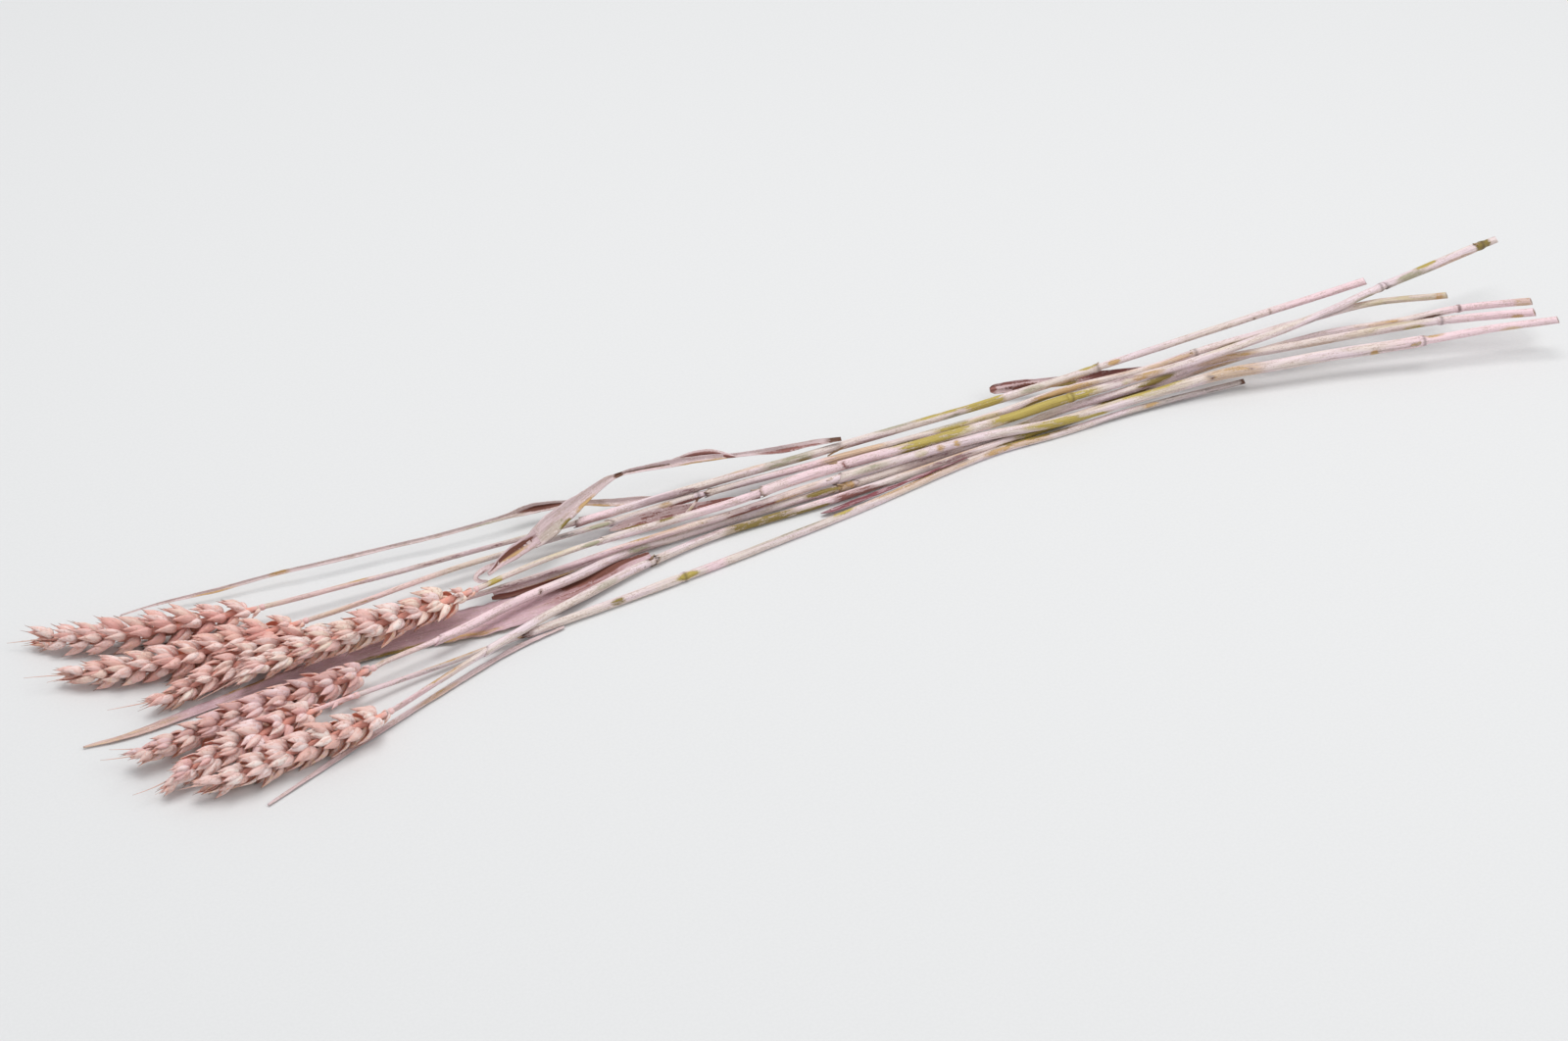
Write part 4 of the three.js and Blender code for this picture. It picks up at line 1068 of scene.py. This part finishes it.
def make_ear(straw):
    """Spikelets in two rows from foot to tip, smaller at both ends and shut at the tip, where
    the last one stands crosswise; then the bristles, from the tip down."""
    rng = np.random.default_rng(straw["seed"])
    route = Route(straw["route"])
    ear = EARS[straw["ear"]]
    start, bare = route.length - ear["length"], ear["bare"]
    reach = ear["length"] - HUSK_LENGTH * 0.9      # the last foot, so that its husks end the ear
    last = round((reach - bare) / PITCH) - 1
    heap, spikelets = Heap(), []
    add_core(heap, route, start, ear, reach)
    add_flaps(heap, route, start, ear, rng)
    first = bare + FOOT_GAP
    for i in range(last + 1):
        t = i / last
        s = start + first + (reach - first) * t
        along, across, up = route.axes(s)
        turn = math.radians(ear["roll"] + (90 if i == last else 0))
        turn += rng.uniform(-TURN_PLAY, TURN_PLAY)
        out = around(turn, across, up) * (1 if i % 2 else -1)
        axes = along, out, np.cross(along, out)
        foot = route.at(s) + out * BULGE * math.sin(math.pi * t)
        size = 0.8 + 0.26 * math.sin(math.pi * min(1, 0.12 + 0.95 * t))
        size *= rng.uniform(1 - SIZE_PLAY, 1 + SIZE_PLAY)
        size *= 0.4 + 0.6 * eased(0, ear["slow"], s - start - bare)
        opened, lifted = (1.0 - 0.65 * t**4) * ear["opened"], 1.0 - 0.6 * t**4
        shut = SHUT if i < 2 or t > SHUT_FROM else 0
        add_spikelet(heap, foot, axes, size, opened, lifted, (1.0 + 0.8 * t) * ear["points"],
                     shut, ear, rng)
        spikelets.append((foot, axes))
    for (foot, axes), length in zip(reversed(spikelets), ear["awns"]):
        direction = leaning(*axes, rng.uniform(0, 16), rng.normal(0, 8))
        add_awn(heap, foot + direction * 5, direction, length, rng.uniform(0, 2.0), rng)
    make_piece("wheat_" + straw["ear"], heap, straw["ear"], "ear", HUSK_FINISH)


# ---- leaves ----
def add_blade(heap, blade, seed):
    """A thin blade that follows its spine, with a sunk midrib and slightly curled edges."""
    spine = np.array(blade["spine"], float)
    rows = max(int(distances(spine[:, :3])[-1] / LEAF_STEP), 10)
    spine = np.column_stack([spine, np.broadcast_to(blade["roll"], len(spine))])
    track = smooth_line(spine, np.linspace(0, 1, rows))
    middle, (half, sunk, roll) = track[:, :3], track[:, 3:].T[..., None]
    s, w = distances(middle)[:, None], np.linspace(-1, 1, LEAF_COLUMNS)
    along, across, up = axes_along(np.gradient(middle, axis=0))
    wide = around(np.radians(roll[:, 0]), across, up)
    face = np.cross(along, wide)[:, None]
    half = np.maximum(half * (1 + ripple(s, seed, *LEAF_EDGE)), LEAF_LEAST)
    lift = -sunk * (1 - np.abs(w)) ** 1.5 + blade["curl"] * half * 0.5 * np.abs(w) ** 3
    lift = lift + ripple(s + 5 * w, seed, *LEAF_WAVES) * np.abs(w)
    thick = LEAF_THICK * (1 - 0.5 * w**2)
    base = middle[:, None] + (half * w)[..., None] * wide[:, None]
    outer, inner = (base + (lift + out * thick / 2)[..., None] * face for out in (1, -1))

    grain = np.stack(np.broadcast_arrays(half * w, 0, s), -1) + seed * 31.0
    places = [(np.hypot((s - middle_s) / reach, (w - at) / width), amount, colour)
              for middle_s, reach, at, width, amount, colour in blade["patches"]]
    bare, skin = paint_marks(lift.shape, places, "bark")
    heap.sheet(outer, inner, grain=(grain, grain + [0, 9, 0]), skin=skin, rosy=blade["rosy"],
               bare=tuple(np.maximum(bare, least) for least in blade["bare"]), dark=0)


def make_leaf(leaf):
    heap = Heap()
    for i, blade in enumerate(leaf["blades"]):
        add_blade(heap, blade, len(leaf["name"]) * 7 + len(blade["spine"]) + i)
    finish = LEAF_FINISH if leaf["slot"] == "leaf" else BARE_LEAF_FINISH
    make_piece("dry_" + leaf["name"], heap, leaf["name"], leaf["slot"], finish)


# ---- stage ----
def floor_finish():
    """Matt card: an even pale grey with a fine paper tooth."""
    material, add = new_finish("matt_studio_card")
    place = add("TexCoord", {}, "Object")
    # a tooth of 1.1 mm, coarser than that of real card, which would not show
    tooth = add("TexNoise", {"Vector": place, "Scale": 900.0, "Detail": 2.0}, "Fac")
    colour = layered(add, FLOOR_COLOURS[0], (tooth, 0.3, 0.7, 1.0, FLOOR_COLOURS[1]))
    relief = add("Bump", {"Strength": 0.2, "Distance": 0.03 * MM, "Height": tooth})
    face = add("BsdfPrincipled", {"Base Color": colour, "Roughness": 0.95, "Normal": relief})
    add("OutputMaterial", {"Surface": face})
    return material


def make_floor():
    mesh = bpy.data.meshes.new("floor")
    corners = [(x * FLOOR_REACH, y * FLOOR_REACH, 0)
               for x, y in ((-1, -1), (1, -1), (1, 1), (-1, 1))]
    mesh.from_pydata(corners, [], [(0, 1, 2, 3)])
    mesh.materials.append(floor_finish())
    link("floor", mesh)


def place_facing(thing, at, aim):
    thing.location = at
    thing.rotation_euler = (Vector(aim) - Vector(at)).to_track_quat("-Z", "Y").to_euler()


def make_light(name, at, power, size, colour):
    data = bpy.data.lights.new(name, "AREA")
    data.energy, data.size, data.color = power, size, colour
    place_facing(link(name, data), at, (0, 0, 0))


def make_world():
    world = bpy.data.worlds.new("studio")
    world.use_nodes = True
    background = world.node_tree.nodes["Background"]
    background.inputs["Color"].default_value = [*linear(WORLD_COLOUR), 1]
    background.inputs["Strength"].default_value = WORLD_STRENGTH
    bpy.context.scene.world = world


def make_camera():
    data = bpy.data.cameras.new("camera")
    data.lens, data.sensor_width = LENS, SENSOR
    camera = link("camera", data)
    place_facing(camera, Vector(CAMERA_AT) * MM, Vector(CAMERA_AIM) * MM)
    bpy.context.scene.camera = camera


make_camera()
make_world()
make_floor()
for light in LIGHTS:
    make_light(*light)
bpy.context.scene.view_settings.view_transform = "Standard"

for straw in STRAWS:
    make_straw(straw)
    make_ear(straw)
for leaf in LEAVES:
    make_leaf(leaf)
